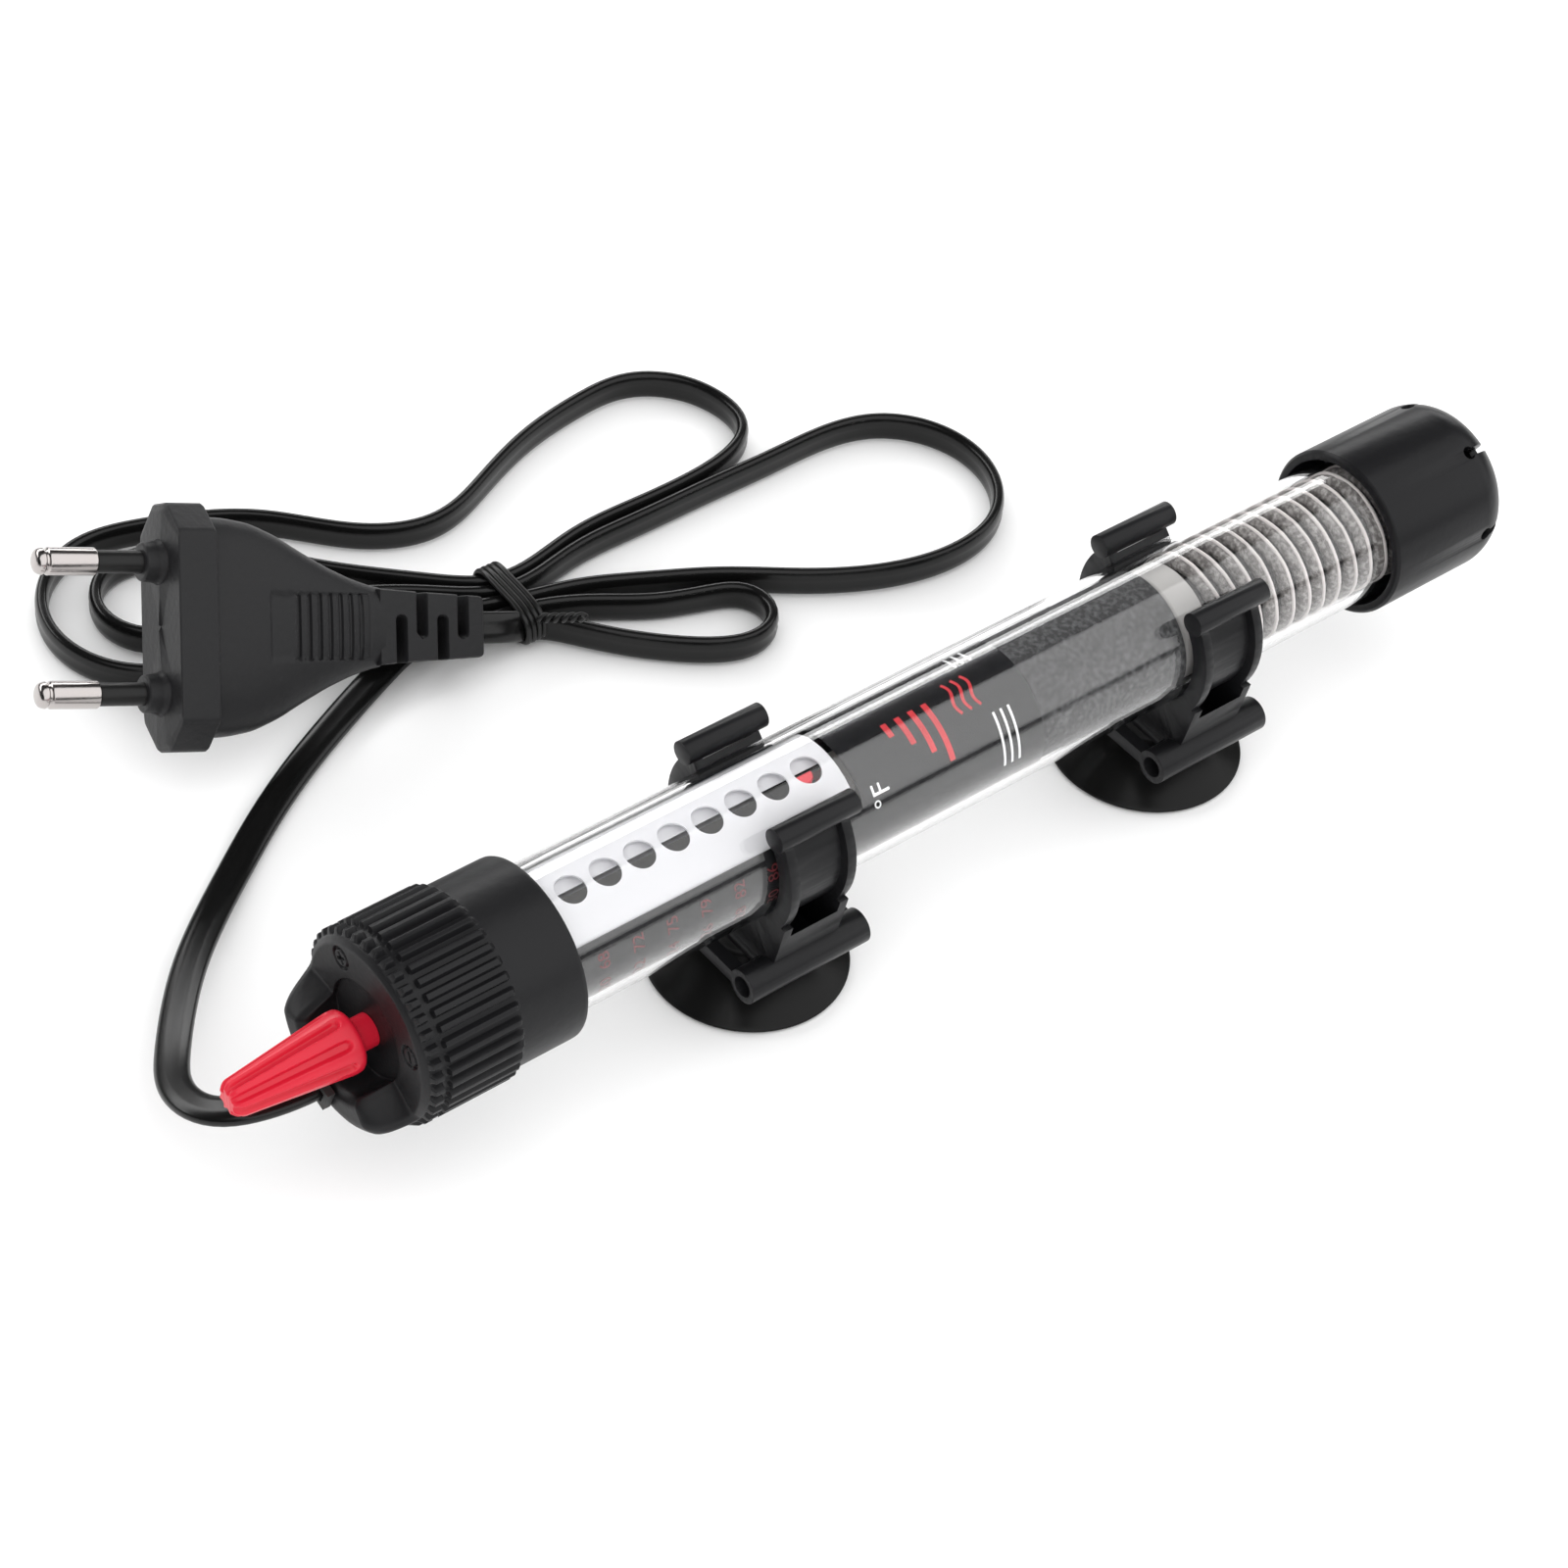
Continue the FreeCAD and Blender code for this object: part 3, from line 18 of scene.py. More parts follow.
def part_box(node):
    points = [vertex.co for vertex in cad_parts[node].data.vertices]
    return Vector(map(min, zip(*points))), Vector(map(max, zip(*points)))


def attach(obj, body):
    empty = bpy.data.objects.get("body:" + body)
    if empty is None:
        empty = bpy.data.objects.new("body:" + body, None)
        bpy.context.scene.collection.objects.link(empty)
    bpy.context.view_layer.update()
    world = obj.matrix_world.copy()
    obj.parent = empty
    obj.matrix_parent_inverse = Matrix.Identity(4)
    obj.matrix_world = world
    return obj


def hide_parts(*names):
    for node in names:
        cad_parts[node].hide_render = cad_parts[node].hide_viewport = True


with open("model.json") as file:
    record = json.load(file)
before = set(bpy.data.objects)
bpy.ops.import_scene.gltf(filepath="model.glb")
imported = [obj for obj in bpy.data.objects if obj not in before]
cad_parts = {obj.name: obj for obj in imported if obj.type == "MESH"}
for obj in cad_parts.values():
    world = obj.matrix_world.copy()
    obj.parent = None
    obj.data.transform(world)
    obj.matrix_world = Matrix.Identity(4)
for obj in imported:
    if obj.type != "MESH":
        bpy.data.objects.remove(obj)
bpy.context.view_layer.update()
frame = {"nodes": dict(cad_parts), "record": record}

MM = 0.001
nodes = frame["nodes"]
mounts = {mount["name"]: mount for mount in frame["record"]["mounts"]}


def middle(node):
    """The middle of a CAD node's box, in millimetres."""
    low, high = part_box(node)
    return (low + high) / 2 / MM


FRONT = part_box("head_cap")[0].x / MM
AXIS = middle("glass_tube").z


# ---------------------------------------------------------------- finishes

def paint(name, colour, rough, metal=0.0, specular=0.5, grain=0.06, grain_scale=600.0,
          speckle=None, speckle_scale=900.0, glow_through=0.0):
    """A finish: one colour, with fine grain in the surface and, if asked, a second colour."""
    finish = bpy.data.materials.new(name)
    finish.use_nodes = True
    tree = finish.node_tree
    shader = tree.nodes["Principled BSDF"]
    shader.inputs["Base Color"].default_value = (*colour, 1)
    shader.inputs["Roughness"].default_value = rough
    shader.inputs["Metallic"].default_value = metal
    shader.inputs["Specular IOR Level"].default_value = specular
    place = tree.nodes.new("ShaderNodeTexCoord")
    if grain:
        noise = tree.nodes.new("ShaderNodeTexNoise")
        noise.inputs["Scale"].default_value = grain_scale
        noise.inputs["Detail"].default_value = 3
        bump = tree.nodes.new("ShaderNodeBump")
        bump.inputs["Strength"].default_value = grain
        bump.inputs["Distance"].default_value = 0.0002
        tree.links.new(place.outputs["Object"], noise.inputs["Vector"])
        tree.links.new(noise.outputs["Fac"], bump.inputs["Height"])
        tree.links.new(bump.outputs["Normal"], shader.inputs["Normal"])
    if speckle:
        spots = tree.nodes.new("ShaderNodeTexNoise")
        spots.inputs["Scale"].default_value = speckle_scale
        spots.inputs["Detail"].default_value = 5
        ramp = tree.nodes.new("ShaderNodeValToRGB")
        ramp.color_ramp.elements[0].position = 0.42
        ramp.color_ramp.elements[0].color = (*colour, 1)
        ramp.color_ramp.elements[1].position = 0.68
        ramp.color_ramp.elements[1].color = (*speckle, 1)
        tree.links.new(place.outputs["Object"], spots.inputs["Vector"])
        tree.links.new(spots.outputs["Fac"], ramp.inputs["Fac"])
        tree.links.new(ramp.outputs["Color"], shader.inputs["Base Color"])
    if glow_through:
        lit = tree.nodes.new("ShaderNodeBsdfTranslucent")
        lit.inputs["Color"].default_value = (*colour, 1)
        mix = tree.nodes.new("ShaderNodeMixShader")
        mix.inputs[0].default_value = glow_through
        tree.links.new(shader.outputs[0], mix.inputs[1])
        tree.links.new(lit.outputs[0], mix.inputs[2])
        tree.links.new(mix.outputs[0], tree.nodes["Material Output"].inputs["Surface"])
    return finish


def clear(name, tint, rough=0.0):
    """A clear finish that bends light, and lets light through to what it covers."""
    finish = bpy.data.materials.new(name)
    finish.use_nodes = True
    tree = finish.node_tree
    shader = tree.nodes["Principled BSDF"]
    shader.inputs["Base Color"].default_value = (*tint, 1)
    shader.inputs["Roughness"].default_value = rough
    shader.inputs["IOR"].default_value = 1.47
    shader.inputs["Transmission Weight"].default_value = 1.0
    path = tree.nodes.new("ShaderNodeLightPath")
    through = tree.nodes.new("ShaderNodeBsdfTransparent")
    through.inputs["Color"].default_value = (0.94, 0.94, 0.94, 1)
    mix = tree.nodes.new("ShaderNodeMixShader")
    tree.links.new(path.outputs["Is Shadow Ray"], mix.inputs[0])
    tree.links.new(shader.outputs[0], mix.inputs[1])
    tree.links.new(through.outputs[0], mix.inputs[2])
    tree.links.new(mix.outputs[0], tree.nodes["Material Output"].inputs["Surface"])
    return finish


FINISH = {
    "cap_black": paint("cap_black", (0.009, 0.009, 0.010), 0.40, specular=0.20, grain=0.25),
    "guard_black": paint("guard_black", (0.007, 0.007, 0.008), 0.34, specular=0.18, grain=0.2),
    "clip_black": paint("clip_black", (0.008, 0.008, 0.009), 0.34, specular=0.20, grain=0.15),
    "cup_rubber": paint("cup_rubber", (0.005, 0.005, 0.005), 0.30, specular=0.16, grain=0.1),
    "knob_red": paint("knob_red", (0.60, 0.010, 0.030), 0.32, specular=0.35, grain=0.12),
    "pointer_red": paint("pointer_red", (0.65, 0.01, 0.03), 0.4),
    "clear_glass": clear("clear_glass", (1.0, 1.0, 1.0)),
    "print_film": paint("print_film", (0.006, 0.006, 0.007), 0.25),
    "print_red": paint("print_red", (0.55, 0.02, 0.03), 0.5),
    "print_faint": paint("print_faint", (0.13, 0.012, 0.016), 0.5),
    "print_white": paint("print_white", (0.85, 0.85, 0.86), 0.5),
    "scale_white": paint("scale_white", (0.86, 0.86, 0.88), 0.45, glow_through=0.35),
    "sleeve_grey": paint("sleeve_grey", (0.020, 0.020, 0.021), 0.75, grain=0.6,
                         grain_scale=1500, speckle=(0.085, 0.085, 0.088), speckle_scale=1400),
    "seal_rubber": paint("seal_rubber", (0.02, 0.02, 0.02), 0.6),
    "bung_rubber": paint("bung_rubber", (0.10, 0.10, 0.10), 0.6),
    "screw_plastic": paint("screw_plastic", (0.75, 0.74, 0.70), 0.4),
    "board_brown": paint("board_brown", (0.09, 0.08, 0.07), 0.5, speckle=(0.05, 0.045, 0.04)),
    "spring_steel": paint("spring_steel", (0.55, 0.55, 0.56), 0.28, metal=1.0),
    "contact_silver": paint("contact_silver", (0.85, 0.85, 0.84), 0.2, metal=1.0),
    "terminal_brass": paint("terminal_brass", (0.75, 0.55, 0.22), 0.3, metal=1.0),
    "magnet_dark": paint("magnet_dark", (0.05, 0.05, 0.055), 0.35, metal=0.6),
    "lamp_glass": clear("lamp_glass", (1.0, 0.72, 0.5), 0.05),
    "resistor_tan": paint("resistor_tan", (0.55, 0.40, 0.22), 0.5),
    "wire_insulation": paint("wire_insulation", (0.75, 0.74, 0.72), 0.45),
    "core_ceramic": paint("core_ceramic", (0.40, 0.39, 0.38), 0.55, grain=0.3),
    # the ceramic core's stem inside the winding: the same ceramic as the core's head, made near
    # black as painted shade for the dark gaps between the coil's turns
    "core_painted_shade": paint("core_painted_shade", (0.035, 0.033, 0.032), 0.8, speckle=(0.16, 0.15, 0.15),
                       speckle_scale=1800),
    "coil_fibre": paint("coil_fibre", (0.14, 0.13, 0.125), 0.85, grain=0.8, grain_scale=2400,
                        speckle=(0.38, 0.365, 0.355), speckle_scale=1500),
    "thread_white": paint("thread_white", (0.66, 0.62, 0.61), 0.6, grain=0.5, grain_scale=2400),
    "mica": paint("mica", (0.55, 0.50, 0.40), 0.35),
    "cord_black": paint("cord_black", (0.005, 0.005, 0.005), 0.24, specular=0.28, grain=0.04),
    "plug_black": paint("plug_black", (0.012, 0.012, 0.013), 0.46, specular=0.24, grain=0.35,
                        grain_scale=900),
    "sleeve_black": paint("sleeve_black", (0.008, 0.008, 0.008), 0.35, specular=0.25),
    "pin_nickel": paint("pin_nickel", (0.46, 0.43, 0.42), 0.22, metal=1.0),
    "tie_black": paint("tie_black", (0.008, 0.008, 0.008), 0.30, specular=0.3),
}

for part in frame["record"]["subparts"]:
    cad = nodes[part["node"]]
    cad.data.materials.clear()
    cad.data.materials.append(FINISH[part["material_slot"]])
    cad.data.shade_smooth()
    cad.data.set_sharp_from_angle(angle=math.radians(35))


# ---------------------------------------------------------------- small tools

def piece(name, points, faces, slot, body="heater", stands_for=(), sharp=38.0, finish=None):
    """A mesh in the row frame, from points in millimetres, that rides on a body.

    Its finish is its slot's own, unless another one is named.
    """
    mesh = bpy.data.meshes.new(name)
    mesh.from_pydata((np.asarray(points, float) * MM).tolist(), [], faces)
    mesh.materials.append(FINISH[finish or slot])
    mesh.shade_smooth()
    mesh.set_sharp_from_angle(angle=math.radians(sharp))
    made = bpy.data.objects.new(name, mesh)
    bpy.context.collection.objects.link(made)
    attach(made, body)
    if stands_for:
        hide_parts(*stands_for)
    return made


def net(rings, loop=False, start=False, end=False, first=0):
    """Faces between rings of points: rings is (count, points in a ring, 3)."""
    count, around = rings.shape[:2]
    faces = []
    for i in range(count if loop else count - 1):
        low = first + i * around
        high = first + ((i + 1) % count) * around
        for j in range(around):
            k = (j + 1) % around
            faces.append((low + j, low + k, high + k, high + j))
    if start:
        faces.append(tuple(first + j for j in reversed(range(around))))
    if end:
        faces.append(tuple(first + (count - 1) * around + j for j in range(around)))
    return faces


def join(*parts):
    """Joins (rings, options) pairs into one list of points and faces."""
    points, faces = [], []
    for rings, options in parts:
        faces += net(rings, first=len(points), **options)
        points += rings.reshape(-1, 3).tolist()
    return points, faces


def rounded(corners, radius, steps=4):
    """A polyline with its inner corners rounded; radius may be one number or one for each."""
    corners = [np.array(c, float) for c in corners]
    radii = [radius] * len(corners) if np.isscalar(radius) else radius
    path = [corners[0]]
    for i in range(1, len(corners) - 1):
        here = corners[i]
        back = corners[i - 1] - here
        ahead = corners[i + 1] - here
        room = min(radii[i], 0.49 * np.linalg.norm(back), 0.49 * np.linalg.norm(ahead))
        start = here + back / max(np.linalg.norm(back), 1e-9) * room
        stop = here + ahead / max(np.linalg.norm(ahead), 1e-9) * room
        for k in range(steps + 1):
            t = k / steps
            path.append((1 - t) ** 2 * start + 2 * t * (1 - t) * here + t * t * stop)
    path.append(corners[-1])
    return np.array(path)


def turned(profile, angles):
    """Rings round the heater's axis from (station, radius) pairs."""
    profile = np.asarray(profile, float)
    x = np.repeat(profile[:, :1], len(angles), 1) + FRONT
    y = profile[:, 1:] * np.cos(angles)
    z = profile[:, 1:] * np.sin(angles) + AXIS
    return np.stack([x, y, z], -1)


def smooth(values, reach):
    """A running average along the first axis, weighted to the middle; the ends stay put."""
    weights = np.hanning(2 * reach + 3)[1:-1]
    padded = np.concatenate([2 * values[:1] - values[reach:0:-1], values,
                             2 * values[-1:] - values[-2:-reach - 2:-1]])
    total = sum(w * padded[k:k + len(values)] for k, w in enumerate(weights))
    return total / weights.sum()


def directions(path):
    """The unit direction of a path at each of its points."""
    along = np.gradient(path, axis=0)
    return along / np.linalg.norm(along, axis=1)[:, None]


def circle(count):
    """Evenly spaced angles once round."""
    return np.arange(count) * 2 * math.pi / count


def ease(t):
    """A smooth step from 0 to 1 as t goes from 0 to 1."""
    t = np.clip(t, 0, 1)
    return t * t * (3 - 2 * t)


def hose(path, radius, count=12):
    """Rings of a round wire along a path; radius may be one number or one for each point."""
    path = np.asarray(path, float)
    along = directions(path)
    side = np.cross(along[0], (0.3, 0.2, 0.93))
    side /= np.linalg.norm(side)
    radii = np.full(len(path), radius, float) if np.isscalar(radius) else np.asarray(radius)
    turn = circle(count)
    rings = []
    for point, ahead, reach in zip(path, along, radii):
        side = side - ahead * np.dot(side, ahead)
        side /= np.linalg.norm(side)
        other = np.cross(ahead, side)
        rings.append(point + reach * (np.cos(turn)[:, None] * side
                                      + np.sin(turn)[:, None] * other))
    return np.array(rings)


def level(made):
    """Shades the large flat faces of a piece as flat, and only its small ones as round."""
    made.modifiers.new("normals", "WEIGHTED_NORMAL").keep_sharp = True
    return made


# the options of a net that is closed by a face at either end
ENDS = {"start": True, "end": True}


# ---------------------------------------------------------------- cap

def build_cap():
    """The ribbed cap: its face with a crescent boss, two engraved signs, ribs and collar."""
    around = circle(720)
    boss_centre = math.radians(-73)
    boss_half = math.radians(67)
    boss_edge = 0.42
    rim_radius = 13.2
    rib_height = 0.86
    rib_half_width = 0.72
    sign_line = 20
    reach = np.abs((around - boss_centre + math.pi) % (2 * math.pi) - math.pi)
    plain = rounded([(7.4, 2.1), (5.8, 2.1), (5.8, 7.3), (5.2, 7.3), (5.2, 8.3), (5.2, 12.3),
                     (5.8, 13.2), (6.6, 13.2)], [0, .15, .15, .15, .1, .25, .3, 0])
    boss = rounded([(7.4, 2.1), (5.8, 2.1), (5.8, 7.2), (1.0, 7.4), (0, 8.3), (0, 11.5),
                    (1.7, 13.2), (6.6, 13.2)], [0, .15, .3, .5, .6, .9, 1.0, 0])

    def refined(path):
        """The same path with more points on the flat line where the signs are cut."""
        out = []
        for i in range(len(path) - 1):
            steps = 36 if i == sign_line else 2
            out += [path[i] + (path[i + 1] - path[i]) * k / steps for k in range(steps)]
        return np.array(out + [path[-1]])

    plain, boss = refined(plain), refined(boss)
    mix = ease((boss_half - reach) / boss_edge + 0.5)
    face = plain[:, None, :] * (1 - mix)[None, :, None] + boss[:, None, :] * mix[None, :, None]
    sign_up = math.radians(107)
    sign_orbit, sign_radius, sign_arm, sign_depth = 10.25, 1.5, 0.9, 0.4
    for offset, crossed in ((-51, True), (51, False)):
        where = sign_up + math.radians(offset)
        across = (around - where + math.pi) % (2 * math.pi) - math.pi
        u = face[:, :, 1] * np.sin(across)[None]
        v = face[:, :, 1] * np.cos(across)[None] - sign_orbit
        cut = ease((0.28 - np.abs(np.hypot(u, v) - sign_radius)) / 0.14)
        cut = np.maximum(cut, ease((0.24 - np.abs(v)) / 0.12) * (np.abs(u) < sign_arm))
        if crossed:
            cut = np.maximum(cut, ease((0.24 - np.abs(u)) / 0.12) * (np.abs(v) < sign_arm))
        on_face = (face[:, :, 0] < 5.3) & (np.abs(across) < 0.3)[None]
        face[:, :, 0] += sign_depth * cut * on_face
    barrel = [6.6, 6.9, 7.2, 7.45, 7.6, 7.7, 7.75, 7.8, 8.1, 8.4, 8.45, 8.5, 8.6, 8.75, 9.0,
              9.4, 10, 12, 14, 16, 18, 19, 19.5, 19.8, 20.05, 20.25, 20.4, 20.5, 20.6, 20.8,
              21.2, 22, 25, 28, 30.2, 30.6, 30.85, 30.97, 31.0, 31.0]
    barrel_r = [rim_radius] * 35 + [13.17, 13.05, 12.9, 12.7, 10.78]
    inside = [(30.6, 10.75), (13.05, 10.75), (13.0, 9.6), (9.5, 9.6), (9.5, 4.2), (7.4, 4.2)]
    outer = np.array(list(zip(barrel, barrel_r)) + inside)
    shell = np.concatenate([face, np.repeat(outer[1:, None, :], len(around), 1)])
    pitch = math.radians(9)
    off_rib = np.abs((around - sign_up + pitch / 2) % pitch - pitch / 2) * rim_radius
    rib = ease((rib_half_width - off_rib) / 0.42)
    x = shell[:, :, 0]
    on_side = (shell[:, :, 1] > 13.1) & (x < 21)
    ends = ease((x - 5.85) / 0.45) * ease((20.65 - x) / 0.9)
    gap = 1 - ease((x - 7.6) / 0.2) * ease((8.75 - x) / 0.2)
    shell[:, :, 1] += rib_height * rib[None] * ends * gap * on_side
    turned_shell = np.stack([shell[:, :, 0] + FRONT, shell[:, :, 1] * np.cos(around),
                             shell[:, :, 1] * np.sin(around) + AXIS], -1)
    points, faces = join((turned_shell, {"loop": True}))
    piece("cap_shell", points, faces, "cap_black", stands_for=("head_cap",), sharp=42)


# ---------------------------------------------------------------- knob

def build_knob():
    """The tapered red knob: eight flutes, closed at the base and open at the tip."""
    around = circle(288)
    profile = rounded([(5.75, 2.35), (2.7, 2.35), (2.7, 4.0), (2.2, 4.42), (1.1, 4.42),
                       (-14.9, 2.62), (-15.7, 1.8)], [0, .2, .3, .4, .8, .6, 0], 5)
    path = []
    for i in range(len(profile) - 1):
        span = np.linalg.norm(profile[i + 1] - profile[i])
        steps = max(1, int(span / 0.28))
        path += [profile[i] + (profile[i + 1] - profile[i]) * k / steps for k in range(steps)]
    path = np.array(path + [profile[-1]])
    rings = np.repeat(path[:, None, :], len(around), 1)
    eighth = math.pi / 4
    off = (around + eighth / 2) % eighth - eighth / 2
    arc = np.abs(off)[None] * rings[:, :, 1]
    back = np.maximum(rings[:, :, 0] - 0.2, 0)
    width = 0.62 + 0.10 * (rings[:, :, 1] - 2.6)
    inside = width - np.hypot(arc, back)
    depth = 0.62 + 0.12 * (rings[:, :, 1] - 2.6)
    rings[:, :, 1] -= depth * ease(inside / 0.42 + 0.35) * (rings[:, :, 0] < 1.6)
    swell = 0.10 * np.cos(off * 8)[None] * ease((0.6 - rings[:, :, 0]) / 1.0)
    rings[:, :, 1] -= np.maximum(swell, 0) * (rings[:, :, 0] > -15.5)
    knob = np.stack([rings[:, :, 0] + FRONT, rings[:, :, 1] * np.cos(around),
                     rings[:, :, 1] * np.sin(around) + AXIS], -1)
    points, faces = join((knob, ENDS))
    piece("knob", points, faces, "knob_red", body="adjuster",
          stands_for=("temperature_knob",), sharp=50)


# ---------------------------------------------------------------- glass, coil, cups

def build_glass():
    """The tube: a fine wall with a round closed end and a fire-polished open edge."""
    around = circle(256)
    radius, wall, end, corner = 10.7, 1.1, 196.0, 8.0

    def side_and_dome(radius, end, corner):
        """The tube's side and its round end, as (station, radius)."""
        centre = end - corner
        side = [(station, radius) for station in (14.4, 30, 80, 130)]
        bend = [(centre + corner * math.cos(a), radius - corner + corner * math.sin(a))
                for a in np.linspace(math.pi / 2, 0, 14)]
        return side + bend + [(end, (radius - corner) * share) for share in (0.6, 0.2)]

    outer = side_and_dome(radius, end, corner)
    inner = side_and_dome(radius - wall, end - wall, corner - wall)
    lip = [(14.1, 9.75), (14.0, 10.0), (14.0, 10.3), (14.1, 10.55)]
    profile = inner[::-1] + lip + outer
    points, faces = join((turned(profile, around), ENDS))
    piece("tube", points, faces, "clear_glass", stands_for=("glass_tube",), sharp=60)


def build_coil():
    """The resistance wire in its fibre sleeve: uneven turns, and the thin binding thread."""
    low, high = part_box("heating_coil")
    start = low.x / MM - FRONT + 1.1
    run = (high.x - low.x) / MM - 2.2
    turns = 12
    t = np.linspace(0, 1, turns * 60)
    rng = np.random.default_rng(7)
    wander = sum(a * np.sin(2 * math.pi * (f * turns * t) + p) for a, f, p in
                 zip((0.13, 0.09, 0.07), (0.83, 1.7, 2.9), rng.uniform(0, 6, 3)))
    swell = 1 + 0.05 * np.sin(2 * math.pi * turns * t * 5.3) + 0.04 * rng.normal(size=len(t))
    angle = 2 * math.pi * turns * t
    orbit, sleeve_radius, thread_radius = 8.02, 0.98, 0.30

    def spiral(radius, shift):
        return np.stack([FRONT + start + run * t + shift, radius * np.cos(angle),
                         AXIS + radius * np.sin(angle)], -1)

    points, faces = join((hose(spiral(orbit, wander), sleeve_radius * swell, 14), ENDS))
    piece("coil_sleeve", points, faces, "coil_fibre", stands_for=("heating_coil",), sharp=70)
    around = circle(96)
    head = rounded([(140.5, 0.2), (140.5, 8.3), (141, 8.6), (145.6, 8.6), (146.1, 7.2)],
                   [0, .3, .2, .3, 0])
    points, faces = join((turned(head, around), ENDS))
    piece("core_head", points, faces, "core_ceramic", stands_for=("ceramic_core",))
    points, faces = join((turned([(146, 6.9), (186, 6.9), (186, 3)], around), ENDS))
    # the stem takes the near-black finish: painted shade seen between the coil's turns, not the
    # ceramic's own colour
    piece("core_stem", points, faces, "core_ceramic", finish="core_painted_shade")
    fuzz = np.convolve(0.12 * rng.normal(size=len(t)), np.ones(5) / 5, "same")
    thread = spiral(8.95, wander + 0.35 + fuzz)
    points, faces = join((hose(thread, thread_radius, 8), ENDS))
    piece("coil_thread", points, faces, "coil_fibre", sharp=70, finish="thread_white")


SCALE_TURN = math.radians(9.4)


def under_scale(points):
    """Points (station, side, height) in the frame of the scale, which leans to the front."""
    points = np.asarray(points, float)
    side, height = points[..., 1], points[..., 2]
    return np.stack([FRONT + points[..., 0],
                     side * math.cos(SCALE_TURN) - height * math.sin(SCALE_TURN),
                     AXIS + side * math.sin(SCALE_TURN) + height * math.cos(SCALE_TURN)], -1)


def build_pointer():
    """The nut on the lead screw, its red flag, and the pale strip behind the scale's holes."""
    low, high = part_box("pointer_carriage")
    bottom = low.z / MM - AXIS
    around = circle(120)
    c, s = np.cos(around), np.sin(around)
    reach = np.minimum(3.9 / np.maximum(np.abs(c), 1e-6),
                       np.where(s > 0, 4.1, -bottom) / np.maximum(np.abs(s), 1e-6))
    start, end = low.x / MM + 0.1, high.x / MM - 0.1
    rings = []
    for x, share, bore in ((start, 0.96, 0), (start + 0.3, 1, 0), (end - 0.3, 1, 0),
                           (end, 0.96, 0), (end, 0, 2.3), (start, 0, 2.3)):
        radius = reach * share + bore
        rings.append(np.stack([np.full_like(c, x), radius * c, AXIS + radius * s], -1))
    points, faces = join((np.array(rings), {"loop": True}))
    piece("pointer_nut", points, faces, "clip_black", body="pointer",
          stands_for=("pointer_carriage",))
    station = (low.x + high.x) / 2 / MM - FRONT - 0.55
    bend = np.linspace(math.pi, 2 * math.pi, 24)
    flag = []
    for height, radius in ((3.4, 1.5), (8.3, 1.5), (8.5, 1.35)):
        flag.append([(station + radius * math.cos(a), -0.1 + radius * math.sin(a), height)
                     for a in bend])
    points, faces = join((under_scale(flag), ENDS))
    piece("pointer_flag", points, faces, "pointer_red", body="pointer")
    sheet = [(0.55, 8.02), (0.6, 8.12), (3.2, 8.12), (3.25, 8.02), (3.2, 7.92), (0.6, 7.92)]
    strip = [[(x, side, height) for side, height in sheet] for x in (33, 45, 57, 69, 80)]
    points, faces = join((under_scale(strip), ENDS))
    piece("scale_backing", points, faces, "scale_white")


def build_cup(name, node, body):
    """A suction cup: a thin bell with a rolled lip, a stepped shoulder, neck and head."""
    centre = middle(node)
    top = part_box(node)[1].z / MM
    profile = rounded([(0.01, 2.0), (5, 1.35), (11.6, 0.22), (13.9, 0.0), (14.6, 0.2),
                       (14.66, 0.6), (13.4, 1.25), (9.0, 3.9), (6.6, 4.9), (5.3, 5.9),
                       (5.15, 8.65), (3.2, 8.7), (3.2, 10.95), (3.9, 11.0), (3.8, 11.9),
                       (2.8, top), (0.01, top)],
                      [0, 1, 1, .4, .25, .3, 1.5, 1.2, .8, .6, .3, .1, .05, .2, .5, .4, 0])
    around = circle(128)
    radius, height = profile[:, :1], profile[:, 1:]
    rings = np.stack([centre.x + radius * np.cos(around), centre.y + radius * np.sin(around),
                      np.repeat(height, len(around), 1)], -1)
    points, faces = join((rings, ENDS))
    piece(name, points, faces, "cup_rubber", body=body, stands_for=(node,), sharp=50)


# ---------------------------------------------------------------- cord

